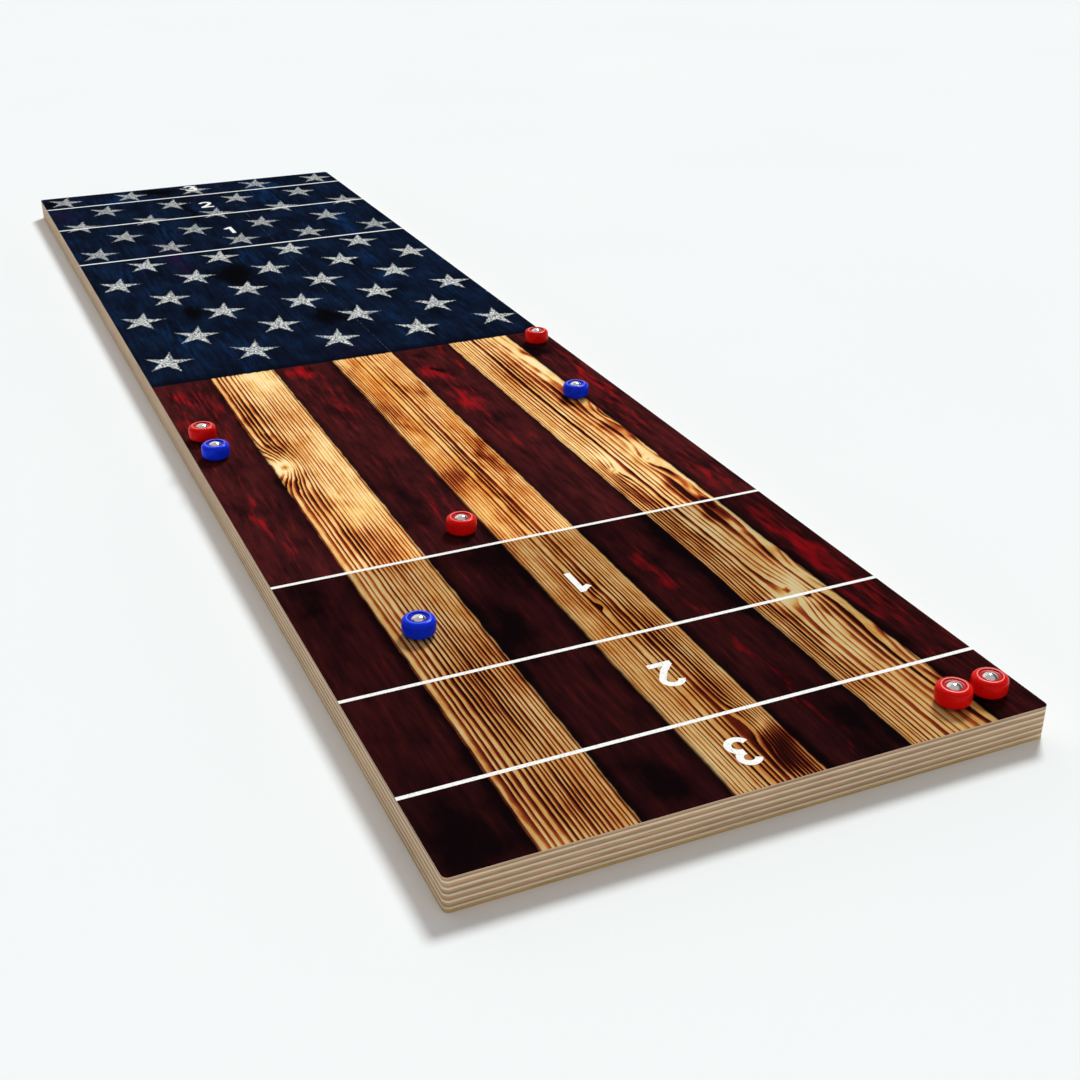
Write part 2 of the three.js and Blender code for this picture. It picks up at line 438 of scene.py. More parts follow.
# Patches as x, y, half width, half length and strength. Scorch darkens, tint reddens the wood and the
# dark planks, light bleaches the wood and turns the canton bluer.
patches = {
    "scorch": [
        (-101, -78, 7, 34, 0.5), (-90, -85, 9, 26, 0.3), (-103, -124, 4, 12, 0.6),
        (-98, -143, 7, 14, 0.5), (-92, -285, 10, 24, 0.55), (-100, -225, 8, 26, 0.3),
        (-86, -305, 14, 26, 0.35), (-86, -465, 16, 40, 0.4), (-84, -440, 8, 40, 0.3),
        (-84, -560, 16, 30, 0.4), (-103, -171.5, 2.4, 3.8, 1.7), (-103, -190, 8, 10, 0.5),
        (-104, -215, 5, 14, 0.4), (-106, -540, 6, 40, 0.35), (-12, -26, 5, 18, 0.3),
        (-11, -104, 7, 24, 0.5), (-9, -140, 6, 12, 0.45), (9, -78, 4, 14, 0.4), (20, -78, 3, 16, 0.55),
        (24, -66, 2, 10, 0.5), (21, -205, 5, 34, 0.7), (8, -200, 3, 40, 0.5), (-10, -232, 9, 18, 0.65),
        (-4, -300, 4, 30, 0.3), (5, -250, 5, 90, 0.5), (4, -400, 4, 60, 0.5), (-6, -390, 6, 45, 0.3),
        (14, -455, 7, 40, 0.5), (15, -515, 7, 30, 0.45), (20, -568, 9, 22, 1.1), (3, -560, 5, 40, 0.4),
        (96, -70, 9, 60, 0.4), (110, -125, 5, 45, 0.85), (104, -95, 6, 40, 0.3),
        (118, -168, 4, 12, 0.6), (117, -200, 5, 20, 0.9), (82, -300, 6, 45, 0.6),
        (112, -318, 6, 45, 0.95), (84, -360, 7, 60, 0.45), (84, -470, 5, 60, 0.45),
        (115, -395, 4, 16, 0.6), (113, -480, 6, 30, 0.5), (118, -545, 4, 30, 0.7),
        (85.5, -261.5, 1.2, 1.7, 1.5), (112.7, -254, 1.2, 1.7, 1.5), (100, -438, 1.5, 1.9, 3.2),
        (107.6, -447, 1.5, 1.9, 3.2), (78, -480, 3, 90, 0.3), (-107, -60, 3, 70, 0.2),
        (-32, 247, 16, 36, 1.0), (-88, 156, 9, 18, 0.9), (10, 100, 18, 22, 0.9),
        (-36, 566, 19, 18, 1.0), (-144, 560, 9, 22, 0.8), (86, 528, 6, 11, 0.9), (114, 528, 7, 11, 0.9),
        (28, 440, 7, 46, 0.5), (-21, 470, 4, 60, 0.8), (60, 458, 7, 12, 0.5), (-24, 320, 5, 40, 0.7),
        (22, 345, 14, 14, 0.5), (47, -47, 6, 6, 0.9), (47, -8, 8, 8, 0.5), (-40, -12, 6, 9, 0.5),
        (131, -38, 14, 12, 0.8), (-26, -60, 10, 60, 0.35), (-48, -250, 12, 80, 0.4),
        (-30, -340, 16, 36, 0.55), (42, -285, 9, 60, 0.4), (70, -380, 9, 90, 0.35),
        (-136, -340, 10, 60, 0.35), (-68, -440, 10, 40, 0.4), (-50, -420, 12, 30, 0.45),
        (-44, -560, 14, 26, 0.5), (-138, -560, 22, 40, 0.5), (58, -560, 12, 40, 0.5),
        (-118, -230, 7, 40, 0.4),
    ],
    "tint": [
        (-122, -45, 12, 40, 0.5), (-142, -90, 8, 40, 0.6), (-128, -95, 14, 36, 0.4),
        (48, -120, 12, 60, 0.4), (-136, -25, 6, 18, 0.7), (40, -45, 14, 30, 0.35),
        (-38, -60, 16, 50, 0.3), (136, -150, 12, 130, 0.35), (-46, -14, 10, 14, 0.95),
        (-38, -24, 6, 10, 0.95), (-24, -90, 5, 26, 0.35), (-37, -95, 6, 16, 0.6), (43, -52, 7, 16, 1.0),
        (50, -62, 5, 14, 0.9), (45, -112, 5, 30, 0.85), (38, -110, 3, 30, 0.6), (53, -100, 4, 30, 0.5),
        (66, -40, 3, 16, 0.7), (66, -8, 3, 10, 0.7), (142, -110, 5, 55, 0.75), (148, -60, 3, 30, 0.5),
        (134, -120, 3, 50, 0.45), (140, -180, 3, 40, 0.5), (-141, -20, 3, 12, 0.8),
        (-126, -28, 5, 12, 0.4), (-123, -70, 4, 30, 0.5), (-144, -110, 4, 25, 0.4),
        (-137, -230, 3, 34, 0.7), (-129, -260, 3, 40, 0.4), (-131, -180, 3, 24, 0.4),
        (45, -185, 4, 30, 0.4), (-45, -200, 4, 40, 0.25), (134, -290, 5, 50, 0.6),
        (142, -300, 3, 40, 0.6), (136, -400, 7, 60, 1.0), (142, -430, 4, 60, 0.8),
        (130, -470, 4, 60, 0.6), (48, -440, 2, 40, 0.7), (50, -520, 1.6, 60, 1.0),
        (44, -372, 5, 14, 0.8), (44, -398, 7, 12, 0.9), (58, -330, 4, 30, 0.3), (-37, -270, 3, 20, 0.5),
        (-28, -282, 4, 16, 0.5), (2, -60, 20, 70, 0.75), (-8, -150, 10, 80, 0.6),
        (20, -190, 8, 60, 0.8), (0, -260, 24, 60, 0.6), (14, -330, 12, 60, 0.4),
        (4, -420, 20, 60, 0.45), (4, -520, 20, 60, 0.4), (-85, -255, 20, 20, 0.4),
        (-70, -330, 8, 120, 0.25), (90, -90, 12, 80, 0.25), (-88, -20, 18, 40, 0.1),
        (100, -560, 20, 40, 0.3), (-70, 315, 7, 46, 0.9), (-140, 505, 10, 20, 0.7),
        (-130, 560, 12, 20, 0.5), (0, 545, 14, 20, 0.5), (34, 408, 8, 14, 0.5),
        (138, -430, 14, 170, 0.42),
    ],
    "light": [
        (-78, -18, 12, 30, 0.9), (-90, -12, 16, 14, 0.5), (-72, -150, 8, 24, 0.5),
        (-103, -171, 8.0, 13, 1.3), (-86, -228, 5, 14, 0.7), (-80, -258, 7, 12, 0.8),
        (-70, -190, 5, 40, 0.4), (-72, -235, 14, 26, 0.6), (-78, -262, 10, 12, 0.5),
        (-100, -330, 5, 60, 0.3), (-14, -8, 5, 26, 0.6), (8, -10, 8, 14, 0.5), (-10, -300, 5, 60, 0.25),
        (116, -60, 6, 60, 0.9), (113, -16, 9, 20, 0.7), (92, -18, 14, 20, 0.4), (90, -240, 7, 16, 0.8),
        (112, -240, 6, 12, 0.6), (85.5, -261, 4.0, 5.5, 1.3), (112.7, -254, 4.6, 6.5, 1.3),
        (119, -300, 3, 50, 0.8), (98, -300, 6, 30, 0.35), (98, -344, 7, 50, 0.5),
        (118, -372, 3, 40, 0.7), (100, -440, 13, 14, 1.0), (119, -430, 3, 16, 0.8),
        (98, -500, 9, 60, 0.5), (120, -530, 3, 20, 0.7), (-14, -560, 5, 30, 0.5), (20, -545, 5, 5, 0.9),
        (-103, -580, 6, 14, 0.4), (80, -230, 5, 30, 0.3), (106, 378, 12, 80, 0.6),
        (-120, 280, 14, 60, 0.35), (72, 540, 26, 26, 0.75), (-80, 545, 26, 22, 0.6),
        (60, 500, 20, 40, 0.5), (-60, 400, 14, 50, 0.4), (-8, 300, 14, 50, 0.35),
        (88, 230, 10, 60, 0.4), (-112, 90, 18, 50, 0.4), (60, 60, 22, 50, 0.35),
        (-75, 60, 14, 60, 0.35), (120, 140, 16, 60, 0.3),
    ],
}


def ellipses(x, y, places):
    # the strongest of the soft ellipses at each place
    total = np.zeros_like(x)
    for centreX, centreY, halfWidth, halfLength, strength in places:
        reach = ((x - centreX) / halfWidth) ** 2 + ((y - centreY) / halfLength) ** 2
        total = np.maximum(total, strength * np.exp(-reach))
    return total


def uneven(x, y):
    # the place, pushed about a little so that round patches get irregular outlines
    pushedX = x + 2.0 * np.sin(y / 8.3 + x / 17.0) + 1.1 * np.sin(y / 3.9 - x / 6.0)
    pushedY = y + 6.0 * np.sin(x / 6.1 + y / 31.0) + 3.5 * np.sin(x / 2.9 + y / 15.0)
    return pushedX, pushedY


def growthRings(x, y):
    # how many growth rings lie left of a place, in the gold plank nearest to it, and how strong they are
    rings = np.zeros_like(x)
    force = np.zeros_like(x)
    middles = [0.5 * sum(plank) for plank in art["goldPlanks"]]
    nearest = np.argmin(np.abs(x[:, None] - np.array(middles)[None, :]), axis=1)
    for index, plank in enumerate(grain):
        drift = 0.5 * np.sin(y / 71.0 + 1.7 * index) + 0.32 * np.sin(y / 29.0 + x / 23.0 + index)
        drift += 0.14 * np.sin(y / 13.0 - x / 9.0)
        across = x + plank["wander"] * drift
        here = np.interp(across, [stop[0] for stop in plank["count"]], [stop[1] for stop in plank["count"]])
        for centreX, centreY, halfWidth, halfLength, pushed in plank["knots"]:
            reach = ((x - centreX) / halfWidth) ** 2 + ((y - centreY) / halfLength) ** 2
            here = here - pushed * np.exp(-reach)
        here = here + 0.2 * np.sin(2.3 * here + index) + 0.08 * np.sin(5.1 * here + 1.0)
        rings = np.where(nearest == index, here + 40.0 * index + 20.0, rings)
        force = np.where(nearest == index, plank["force"] + ellipses(x, y, plank["strong"]), force)
    return rings, np.clip(force, 0.0, 1.2)


def artMaterial():
    material, nodes, links = newMaterial("printedArtwork")

    output = nodes.new("ShaderNodeOutputMaterial")
    output.label = "printed face"
    surface = nodes.new("ShaderNodeBsdfPrincipled")
    surface.label = "satin printed sheet"

    # place
    coordinates = nodes.new("ShaderNodeTexCoord")
    coordinates.label = "place in the frame"
    millimetres = nodes.new("ShaderNodeVectorMath")
    millimetres.label = "in millimetres"
    place = nodes.new("ShaderNodeSeparateXYZ")
    place.label = "across and along"
    patchColours = nodes.new("ShaderNodeAttribute")
    patchColours.label = "listed patches"
    patchParts = nodes.new("ShaderNodeSeparateColor")
    patchParts.label = "scorch, tint, light"
    rings = nodes.new("ShaderNodeAttribute")
    rings.label = "growth ring number"
    force = nodes.new("ShaderNodeAttribute")
    force.label = "strength of the rings here"

    # fibres
    fineStretch = nodes.new("ShaderNodeVectorMath")
    fineStretch.label = "long thin fibres"
    fineFibre = nodes.new("ShaderNodeTexNoise")
    fineFibre.label = "fine fibre"
    streakStretch = nodes.new("ShaderNodeVectorMath")
    streakStretch.label = "long streaks"
    streak = nodes.new("ShaderNodeTexNoise")
    streak.label = "brushed streaks"
    blotchStretch = nodes.new("ShaderNodeVectorMath")
    blotchStretch.label = "soft blotches"
    blotch = nodes.new("ShaderNodeTexNoise")
    blotch.label = "blotches"
    grit = nodes.new("ShaderNodeTexNoise")
    grit.label = "worn grit"
    speckle = nodes.new("ShaderNodeTexNoise")
    speckle.label = "fine speckle"

    # plank layout
    wanderPlace = nodes.new("ShaderNodeVectorMath")
    wanderPlace.label = "slow along the seam"
    wander = nodes.new("ShaderNodeTexNoise")
    wander.label = "uneven plank edge"
    wanderShift = nodes.new("ShaderNodeMath")
    wanderShift.label = "how far it wanders"
    acrossWandered = nodes.new("ShaderNodeMath")
    acrossWandered.label = "wandered place across"
    acrossShare = nodes.new("ShaderNodeMapRange")
    acrossShare.label = "share of the width"
    goldMask = nodes.new("ShaderNodeValToRGB")
    goldMask.label = "gold planks"
    seamMask = nodes.new("ShaderNodeValToRGB")
    seamMask.label = "seams between planks"
    seamShare = nodes.new("ShaderNodeMapRange")
    seamShare.label = "straight share of the width"
    alongWandered = nodes.new("ShaderNodeMath")
    alongWandered.label = "ragged canton end"
    cantonMask = nodes.new("ShaderNodeMapRange")
    cantonMask.label = "inside the canton"
    cantonShade = nodes.new("ShaderNodeMapRange")
    cantonShade.label = "dark band inside its end"

    # burnt pine
    ringWobble = nodes.new("ShaderNodeMath")
    ringWobble.label = "rings wobble with the fibre"
    ringFloor = nodes.new("ShaderNodeMath")
    ringFloor.label = "which ring"
    ringPick = nodes.new("ShaderNodeTexWhiteNoise")
    ringPick.label = "strength of each ring"
    ringStrength = nodes.new("ShaderNodeMapRange")
    ringStrength.label = "faint to strong rings"
    ringSaw = nodes.new("ShaderNodeMath")
    ringSaw.label = "place within the ring"
    ringHere = nodes.new("ShaderNodeMath")
    ringHere.label = "this ring, here"
    ringScorched = nodes.new("ShaderNodeMath")
    ringScorched.label = "stronger where scorched"
    lateStart = nodes.new("ShaderNodeMapRange")
    lateStart.label = "scorch widens the late wood"
    lateUneven = nodes.new("ShaderNodeMath")
    lateUneven.label = "its width varies along it"
    lateWood = nodes.new("ShaderNodeMapRange")
    lateWood.label = "early to late wood"
    lateStrong = nodes.new("ShaderNodeMath")
    lateStrong.label = "late wood of this ring"
    lateBleached = nodes.new("ShaderNodeMath")
    lateBleached.label = "bleached places lose rings"
    bleachKeep = nodes.new("ShaderNodeMapRange")
    bleachKeep.label = "how much ring stays"
    burn = nodes.new("ShaderNodeMath")
    burn.label = "add the scorch"
    burnTint = nodes.new("ShaderNodeMath")
    burnTint.label = "add the amber tint"
    burnFibre = nodes.new("ShaderNodeMath")
    burnFibre.label = "add the fibre"
    burnBlotch = nodes.new("ShaderNodeMath")
    burnBlotch.label = "add the blotches"
    burnLight = nodes.new("ShaderNodeMath")
    burnLight.label = "take off the bleaching"
    goldColour = nodes.new("ShaderNodeValToRGB")
    goldColour.label = "cream to charred"
    amberShare = nodes.new("ShaderNodeMath")
    amberShare.label = "how much amber"
    amber = nodes.new("ShaderNodeMix")
    amber.label = "amber stain"

    # painted planks
    streakShare = nodes.new("ShaderNodeMath")
    streakShare.label = "share of the streaks"
    paintNoise = nodes.new("ShaderNodeMath")
    paintNoise.label = "streaks and blotches"
    maroon = nodes.new("ShaderNodeValToRGB")
    maroon.label = "stained maroon"
    redField = nodes.new("ShaderNodeMath")
    redField.label = "where red paint holds"
    redMask = nodes.new("ShaderNodeMapRange")
    redMask.label = "worn red paint"
    redPaint = nodes.new("ShaderNodeMix")
    redPaint.label = "red over maroon"
    borderMask = nodes.new("ShaderNodeValToRGB")
    borderMask.label = "darker along the gold planks"
    sootBorder = nodes.new("ShaderNodeMath")
    sootBorder.label = "soot along the borders"
    sootField = nodes.new("ShaderNodeMath")
    sootField.label = "where soot lies"
    sootZone = nodes.new("ShaderNodeMath")
    sootZone.label = "more in the near zone"
    sootMask = nodes.new("ShaderNodeMapRange")
    sootMask.label = "ragged soot"
    sootPaint = nodes.new("ShaderNodeMix")
    sootPaint.label = "soot over the planks"

    # canton
    navy = nodes.new("ShaderNodeValToRGB")
    navy.label = "streaked navy"
    blueField = nodes.new("ShaderNodeMath")
    blueField.label = "where the blue shows"
    blueMask = nodes.new("ShaderNodeMapRange")
    blueMask.label = "worn blue"
    bluePaint = nodes.new("ShaderNodeMix")
    bluePaint.label = "brighter blue"
    plumMask = nodes.new("ShaderNodeMath")
    plumMask.label = "a little plum"
    plumPaint = nodes.new("ShaderNodeMix")
    plumPaint.label = "plum hints"
    seamField = nodes.new("ShaderNodeMath")
    seamField.label = "seam strength"
    seamPaint = nodes.new("ShaderNodeMix")
    seamPaint.label = "seams in the canton"
    cantonField = nodes.new("ShaderNodeMath")
    cantonField.label = "where soot lies here"
    cantonSootMask = nodes.new("ShaderNodeMapRange")
    cantonSootMask.label = "ragged soot here"
    cantonSoot = nodes.new("ShaderNodeMix")
    cantonSoot.label = "soot over the navy"
    shadePaint = nodes.new("ShaderNodeMix")
    shadePaint.label = "dark band at the end"

    # stars
    rowPlace = nodes.new("ShaderNodeMath")
    rowPlace.label = "rows from the far end"
    rowNumber = nodes.new("ShaderNodeMath")
    rowNumber.label = "nearest row"
    rowOffset = nodes.new("ShaderNodeMath")
    rowOffset.label = "from the row's middle"
    rowParity = nodes.new("ShaderNodeMath")
    rowParity.label = "every other row"
    columnShift = nodes.new("ShaderNodeMath")
    columnShift.label = "staggered half a pitch"
    columnWrap = nodes.new("ShaderNodeMath")
    columnWrap.label = "from the nearest star"
    starPlace = nodes.new("ShaderNodeCombineXYZ")
    starPlace.label = "place in one star"
    starScale = nodes.new("ShaderNodeVectorMath")
    starScale.label = "stretched along the board"
    starRadius = nodes.new("ShaderNodeVectorMath")
    starRadius.label = "distance from its middle"
    starParts = nodes.new("ShaderNodeSeparateXYZ")
    starParts.label = "parts"
    starAngle = nodes.new("ShaderNodeMath")
    starAngle.label = "angle"
    armAngle = nodes.new("ShaderNodeMath")
    armAngle.label = "angle from the nearest arm"
    armFold = nodes.new("ShaderNodeMath")
    armFold.label = "both sides alike"
    armCosine = nodes.new("ShaderNodeMath")
    armCosine.label = "cosine"
    armSine = nodes.new("ShaderNodeMath")
    armSine.label = "sine"
    armEdge = nodes.new("ShaderNodeMath")
    armEdge.label = "straight arm edge"
    starField = nodes.new("ShaderNodeMath")
    starField.label = "1 on the outline"
    starRagged = nodes.new("ShaderNodeMath")
    starRagged.label = "ragged outline"
    starShape = nodes.new("ShaderNodeMapRange")
    starShape.label = "inside a star"
    starRows = nodes.new("ShaderNodeMath")
    starRows.label = "last row"
    starMargin = nodes.new("ShaderNodeMath")
    starMargin.label = "off the left margin"
    starWear = nodes.new("ShaderNodeMapRange")
    starWear.label = "worn through"
    starInRows = nodes.new("ShaderNodeMath")
    starInRows.label = "only in the rows"
    starInMargin = nodes.new("ShaderNodeMath")
    starInMargin.label = "and the margin"
    starOpacity = nodes.new("ShaderNodeMath")
    starOpacity.label = "worn star"
    farZone = nodes.new("ShaderNodeMath")
    farZone.label = "far scoring zone"
    farFade = nodes.new("ShaderNodeMapRange")
    farFade.label = "stars fainter there"
    starFaded = nodes.new("ShaderNodeMath")
    starFaded.label = "faded star"
    starColour = nodes.new("ShaderNodeMix")
    starColour.label = "grey-white shades"
    starPaint = nodes.new("ShaderNodeMix")
    starPaint.label = "stars over the navy"
    scratchNear = nodes.new("ShaderNodeMath")
    scratchNear.label = "on the third seam"
    scratchDash = nodes.new("ShaderNodeMath")
    scratchDash.label = "broken along it"
    scratch = nodes.new("ShaderNodeMath")
    scratch.label = "scratched seam"
    scratchPaint = nodes.new("ShaderNodeMix")
    scratchPaint.label = "white scratches"

    # joining
    woodMix = nodes.new("ShaderNodeMix")
    woodMix.label = "gold between dark planks"
    seamThin = nodes.new("ShaderNodeMath")
    seamThin.label = "weaker outside the canton"
    seamDark = nodes.new("ShaderNodeMix")
    seamDark.label = "dark plank seams"
    cantonMix = nodes.new("ShaderNodeMix")
    cantonMix.label = "canton over the planks"
    nearZone = nodes.new("ShaderNodeMath")
    nearZone.label = "near scoring zone"
    zoneValue = nodes.new("ShaderNodeMapRange")
    zoneValue.label = "dimmer in a zone"
    zoneTone = nodes.new("ShaderNodeHueSaturation")
    zoneTone.label = "scoring zones"
    sheetNormal = nodes.new("ShaderNodeSeparateXYZ")
    sheetNormal.label = "facing up or out"
    sheetTop = nodes.new("ShaderNodeMapRange")
    sheetTop.label = "printed on top only"
    sheetMix = nodes.new("ShaderNodeMix")
    sheetMix.label = "pale cut edge of the sheet"
    roughness = nodes.new("ShaderNodeMapRange")
    roughness.label = "satin varies with the fibre"
    relief = nodes.new("ShaderNodeBump")
    relief.label = "slight sheet texture"

    groups = {
        "Place": [coordinates, millimetres, place, patchColours, patchParts, rings, force],
        "Fibres": [fineStretch, fineFibre, streakStretch, streak, blotchStretch, blotch, grit, speckle],
        "Plank layout": [wanderPlace, wander, wanderShift, acrossWandered, acrossShare, goldMask, seamShare,
                         seamMask, alongWandered, cantonMask, cantonShade],
        "Burnt pine": [ringWobble, ringFloor, ringPick, ringStrength, ringHere, ringScorched, ringSaw,
                       lateStart, lateUneven, lateWood, lateStrong, bleachKeep, lateBleached, burn, burnTint,
                       burnFibre, burnBlotch, burnLight, goldColour, amberShare, amber],
        "Painted planks": [streakShare, paintNoise, maroon, redField, redMask, redPaint, borderMask,
                           sootBorder, sootField, sootZone, sootMask, sootPaint],
        "Canton": [navy, blueField, blueMask, bluePaint, plumMask, plumPaint, seamField, seamPaint,
                   cantonField, cantonSootMask, cantonSoot, shadePaint],
        "Stars": [rowPlace, rowNumber, rowOffset, rowParity, columnShift, columnWrap, starPlace, starScale,
                  starRadius, starParts, starAngle, armAngle, armFold, armCosine, armSine, armEdge,
                  starField, starRagged, starShape, starRows, starMargin, starWear, starInRows,
                  starInMargin, starOpacity, farZone, farFade, starFaded, starColour, starPaint,
                  scratchNear, scratchDash, scratch, scratchPaint],
        "Joining": [woodMix, seamThin, seamDark, cantonMix, nearZone, zoneValue, zoneTone, sheetNormal,
                    sheetTop, sheetMix],
        "Surface": [roughness, relief, surface, output],
    }
    layOut(nodes, groups, abreast=2)

    # settings: place and patterns
    millimetres.operation = "SCALE"
    millimetres.inputs["Scale"].default_value = 1000.0
    for attribute, name in ((patchColours, "patches"), (rings, "rings"), (force, "force")):
        attribute.attribute_name = name
    for stretch, amount in (
        (fineStretch, (1.5, 0.06, 1.0)),
        (streakStretch, (0.3, 0.03, 1.0)),
        (blotchStretch, (0.05, 0.024, 1.0)),
        (wanderPlace, (0.02, 0.07, 1.0)),
    ):
        stretch.operation = "MULTIPLY"
        stretch.inputs[1].default_value = amount
    for noise, scale, detail, roughening in (
        (fineFibre, 1.0, 3.0, 0.6),
        (streak, 1.0, 4.0, 0.62),
        (blotch, 1.0, 5.0, 0.6),
        (wander, 1.0, 3.0, 0.5),
        (grit, 0.45, 4.0, 0.75),
        (speckle, 0.62, 2.0, 0.8),
    ):
        noise.inputs["Scale"].default_value = scale
        noise.inputs["Detail"].default_value = detail
        noise.inputs["Roughness"].default_value = roughening
    ringPick.noise_dimensions = "1D"

    # settings: sums without a number of their own
    for operation, members in {
        "ADD": [acrossWandered],
        "SUBTRACT": [rowOffset],
        "MULTIPLY": [ringHere, lateStrong, lateBleached, seamField, starField, starInRows, starInMargin,
                     starOpacity, starFaded, scratch],
        "FLOOR": [ringFloor],
        "FRACT": [ringSaw],
        "ROUND": [rowNumber],
        "LENGTH": [starRadius],
        "ARCTAN2": [starAngle],
        "ABSOLUTE": [armFold],
        "COSINE": [armCosine],
        "SINE": [armSine],
    }.items():
        for node in members:
            node.operation = operation

    # settings: sums with a number in their second socket
    for node, operation, amount in (
        (wanderShift, "MULTIPLY_ADD", 2.4),
        (alongWandered, "MULTIPLY_ADD", art["cantonEndWander"]),
        (ringWobble, "MULTIPLY_ADD", 0.22),
        (ringScorched, "MULTIPLY_ADD", 0.45),
        (lateUneven, "MULTIPLY_ADD", -0.5),
        (burn, "MULTIPLY_ADD", 0.2),
        (burnTint, "MULTIPLY_ADD", 0.035),
        (burnFibre, "MULTIPLY_ADD", 0.37),
        (burnBlotch, "MULTIPLY_ADD", 0.39),
        (burnLight, "MULTIPLY_ADD", -0.16),
        (amberShare, "MULTIPLY", 1.1),
        (streakShare, "MULTIPLY", 0.65),
        (paintNoise, "MULTIPLY_ADD", 0.85),
        (redField, "MULTIPLY_ADD", 0.46),
        (sootBorder, "MULTIPLY_ADD", 0.3),
        (sootField, "MULTIPLY_ADD", 0.62),
        (sootZone, "MULTIPLY_ADD", 0.13),
        (blueField, "MULTIPLY_ADD", 0.6),
        (plumMask, "MULTIPLY", 0.6),
        (cantonField, "MULTIPLY_ADD", 0.5),
        (rowPlace, "MULTIPLY_ADD", -1.0 / art["starRowPitch"]),
        (rowParity, "MODULO", 2.0),
        (columnShift, "MULTIPLY_ADD", -0.5 * art["starPitch"]),
        (columnWrap, "WRAP", art["starColumn"] + 0.5 * art["starPitch"]),
        (armAngle, "WRAP", math.pi / 5.0),
        (armEdge, "MULTIPLY_ADD", art["starSharpness"]),
        (starRagged, "MULTIPLY_ADD", 1.1),
        (starRows, "LESS_THAN", art["lastStarRow"] + 0.5),
        (starMargin, "GREATER_THAN", art["starMargin"]),
        (farZone, "GREATER_THAN", art["farZone"]),
        (scratchNear, "COMPARE", art["goldPlanks"][1][1]),
        (scratchDash, "GREATER_THAN", 0.55),
        (seamThin, "MULTIPLY", 0.4),
        (nearZone, "LESS_THAN", art["nearZone"]),
    ):
        node.operation = operation
        node.inputs[1].default_value = amount
    wanderShift.inputs[2].default_value = -1.2
    rowPlace.inputs[2].default_value = art["firstStarRow"] / art["starRowPitch"]
    columnWrap.inputs[2].default_value = art["starColumn"] - 0.5 * art["starPitch"]
    armAngle.inputs[2].default_value = -math.pi / 5.0
    scratchNear.inputs[2].default_value = 0.25
    for node in (amberShare, seamField):
        node.use_clamp = True
    starScale.operation = "MULTIPLY_ADD"
    across, along = art["starAcross"], art["starAlong"]
    starScale.inputs[1].default_value = (1.0 / across, art["starRowPitch"] / along, 0.0)
    starScale.inputs[2].default_value = (-art["starColumn"] / across, 0.0, 0.0)

    # settings: ranges, from low and high to low and high
    halfWidth = 1000.0 * board["halfWidth"]
    cantonEnd = art["cantonEnd"] + 0.5 * art["cantonEndWander"]
    softness = art["cantonEndSoftness"]
    shadeLow, shadeHigh = art["cantonShade"]
    for node, *ends in (
        (acrossShare, -halfWidth, halfWidth, 0.0, 1.0),
        (seamShare, -halfWidth, halfWidth, 0.0, 1.0),
        (cantonMask, cantonEnd - softness, cantonEnd + softness, 0.0, 1.0),
        (cantonShade, art["cantonEnd"] + shadeLow, art["cantonEnd"] + shadeHigh, 0.75, 0.0),
        (ringStrength, 0.0, 1.0, 0.38, 0.86),
        (lateStart, 0.0, 1.0, 0.68, -0.1),
        (lateWood, 0.0, 0.82, 0.0, 1.0),
        (bleachKeep, 0.0, 1.0, 1.0, 0.12),
        (redMask, 0.6, 1.08, 0.0, 1.0),
        (sootMask, 0.5, 0.98, 0.0, 1.0),
        (blueMask, 0.58, 1.3, 0.0, 1.0),
        (cantonSootMask, 0.56, 0.86, 0.0, 1.0),
        (starShape, 1.48, 1.62, 1.0, 0.0),
        (starWear, 0.44, 0.57, 1.0, 0.2),
        (farFade, 0.0, 1.0, 1.0, 0.72),
        (zoneValue, 0.0, 1.0, 1.0, 0.62),
        (sheetTop, 0.4, 0.6, 0.0, 1.0),
        (roughness, 0.0, 1.0, 0.5, 0.66),
    ):
        for socket, value in zip(("From Min", "From Max", "To Min", "To Max"), ends):
            node.inputs[socket].default_value = value
    lateStart.clamp = False
    for node in (lateWood, redMask, sootMask, blueMask, cantonSootMask):
        node.interpolation_type = "SMOOTHSTEP"

    # settings: colours
    fillRamp(goldColour, art["goldStops"])
    fillRamp(maroon, art["maroonStops"])
    fillRamp(navy, art["navyStops"])
    for mix, colour in (
        (amber, art["amber"]),
        (redPaint, art["red"]),
        (sootPaint, art["soot"]),
        (seamDark, art["plankSeam"]),
        (bluePaint, art["blue"]),
        (plumPaint, art["plum"]),
        (seamPaint, art["cantonSeam"]),
        (cantonSoot, art["cantonSoot"]),
        (shadePaint, art["cantonDark"]),
        (starColour, art["brightStar"]),
        (scratchPaint, art["scratch"]),
    ):
        mix.data_type = "RGBA"
        mix.inputs[7].default_value = colour
    for mix in (starPaint, woodMix, cantonMix, sheetMix):
        mix.data_type = "RGBA"
    amber.blend_type = "MULTIPLY"
    starColour.inputs[6].default_value = art["dullStar"]
    sheetMix.inputs[6].default_value = art["sheetEdge"]

    # settings: ramps across the board, whose stops are millimetres and a grey value
    gold, seams, borders = [(-halfWidth, 0.0)], [(-halfWidth, 0.0)], [(-halfWidth, 0.0)]
    soft, thin, wide = art["plankSoftness"], art["seamWidth"], art["sootWidth"]
    for left, right in art["goldPlanks"]:
        gold += [(left - soft, 0.0), (left + soft, 1.0), (right - soft, 1.0), (right + soft, 0.0)]
        borders += [(left - wide, 0.0), (left - 0.5, 1.0), (right + 0.5, 1.0), (right + wide, 0.0)]
        for seam in (left, right):
            seams += [(seam - thin, 0.0), (seam, 1.0), (seam + thin, 0.0)]
    width = 2.0 * halfWidth
    for ramp, stops in ((goldMask, gold), (seamMask, seams), (borderMask, borders)):
        fillRamp(ramp, [((across + halfWidth) / width, (grey, grey, grey, 1.0)) for across, grey in stops])

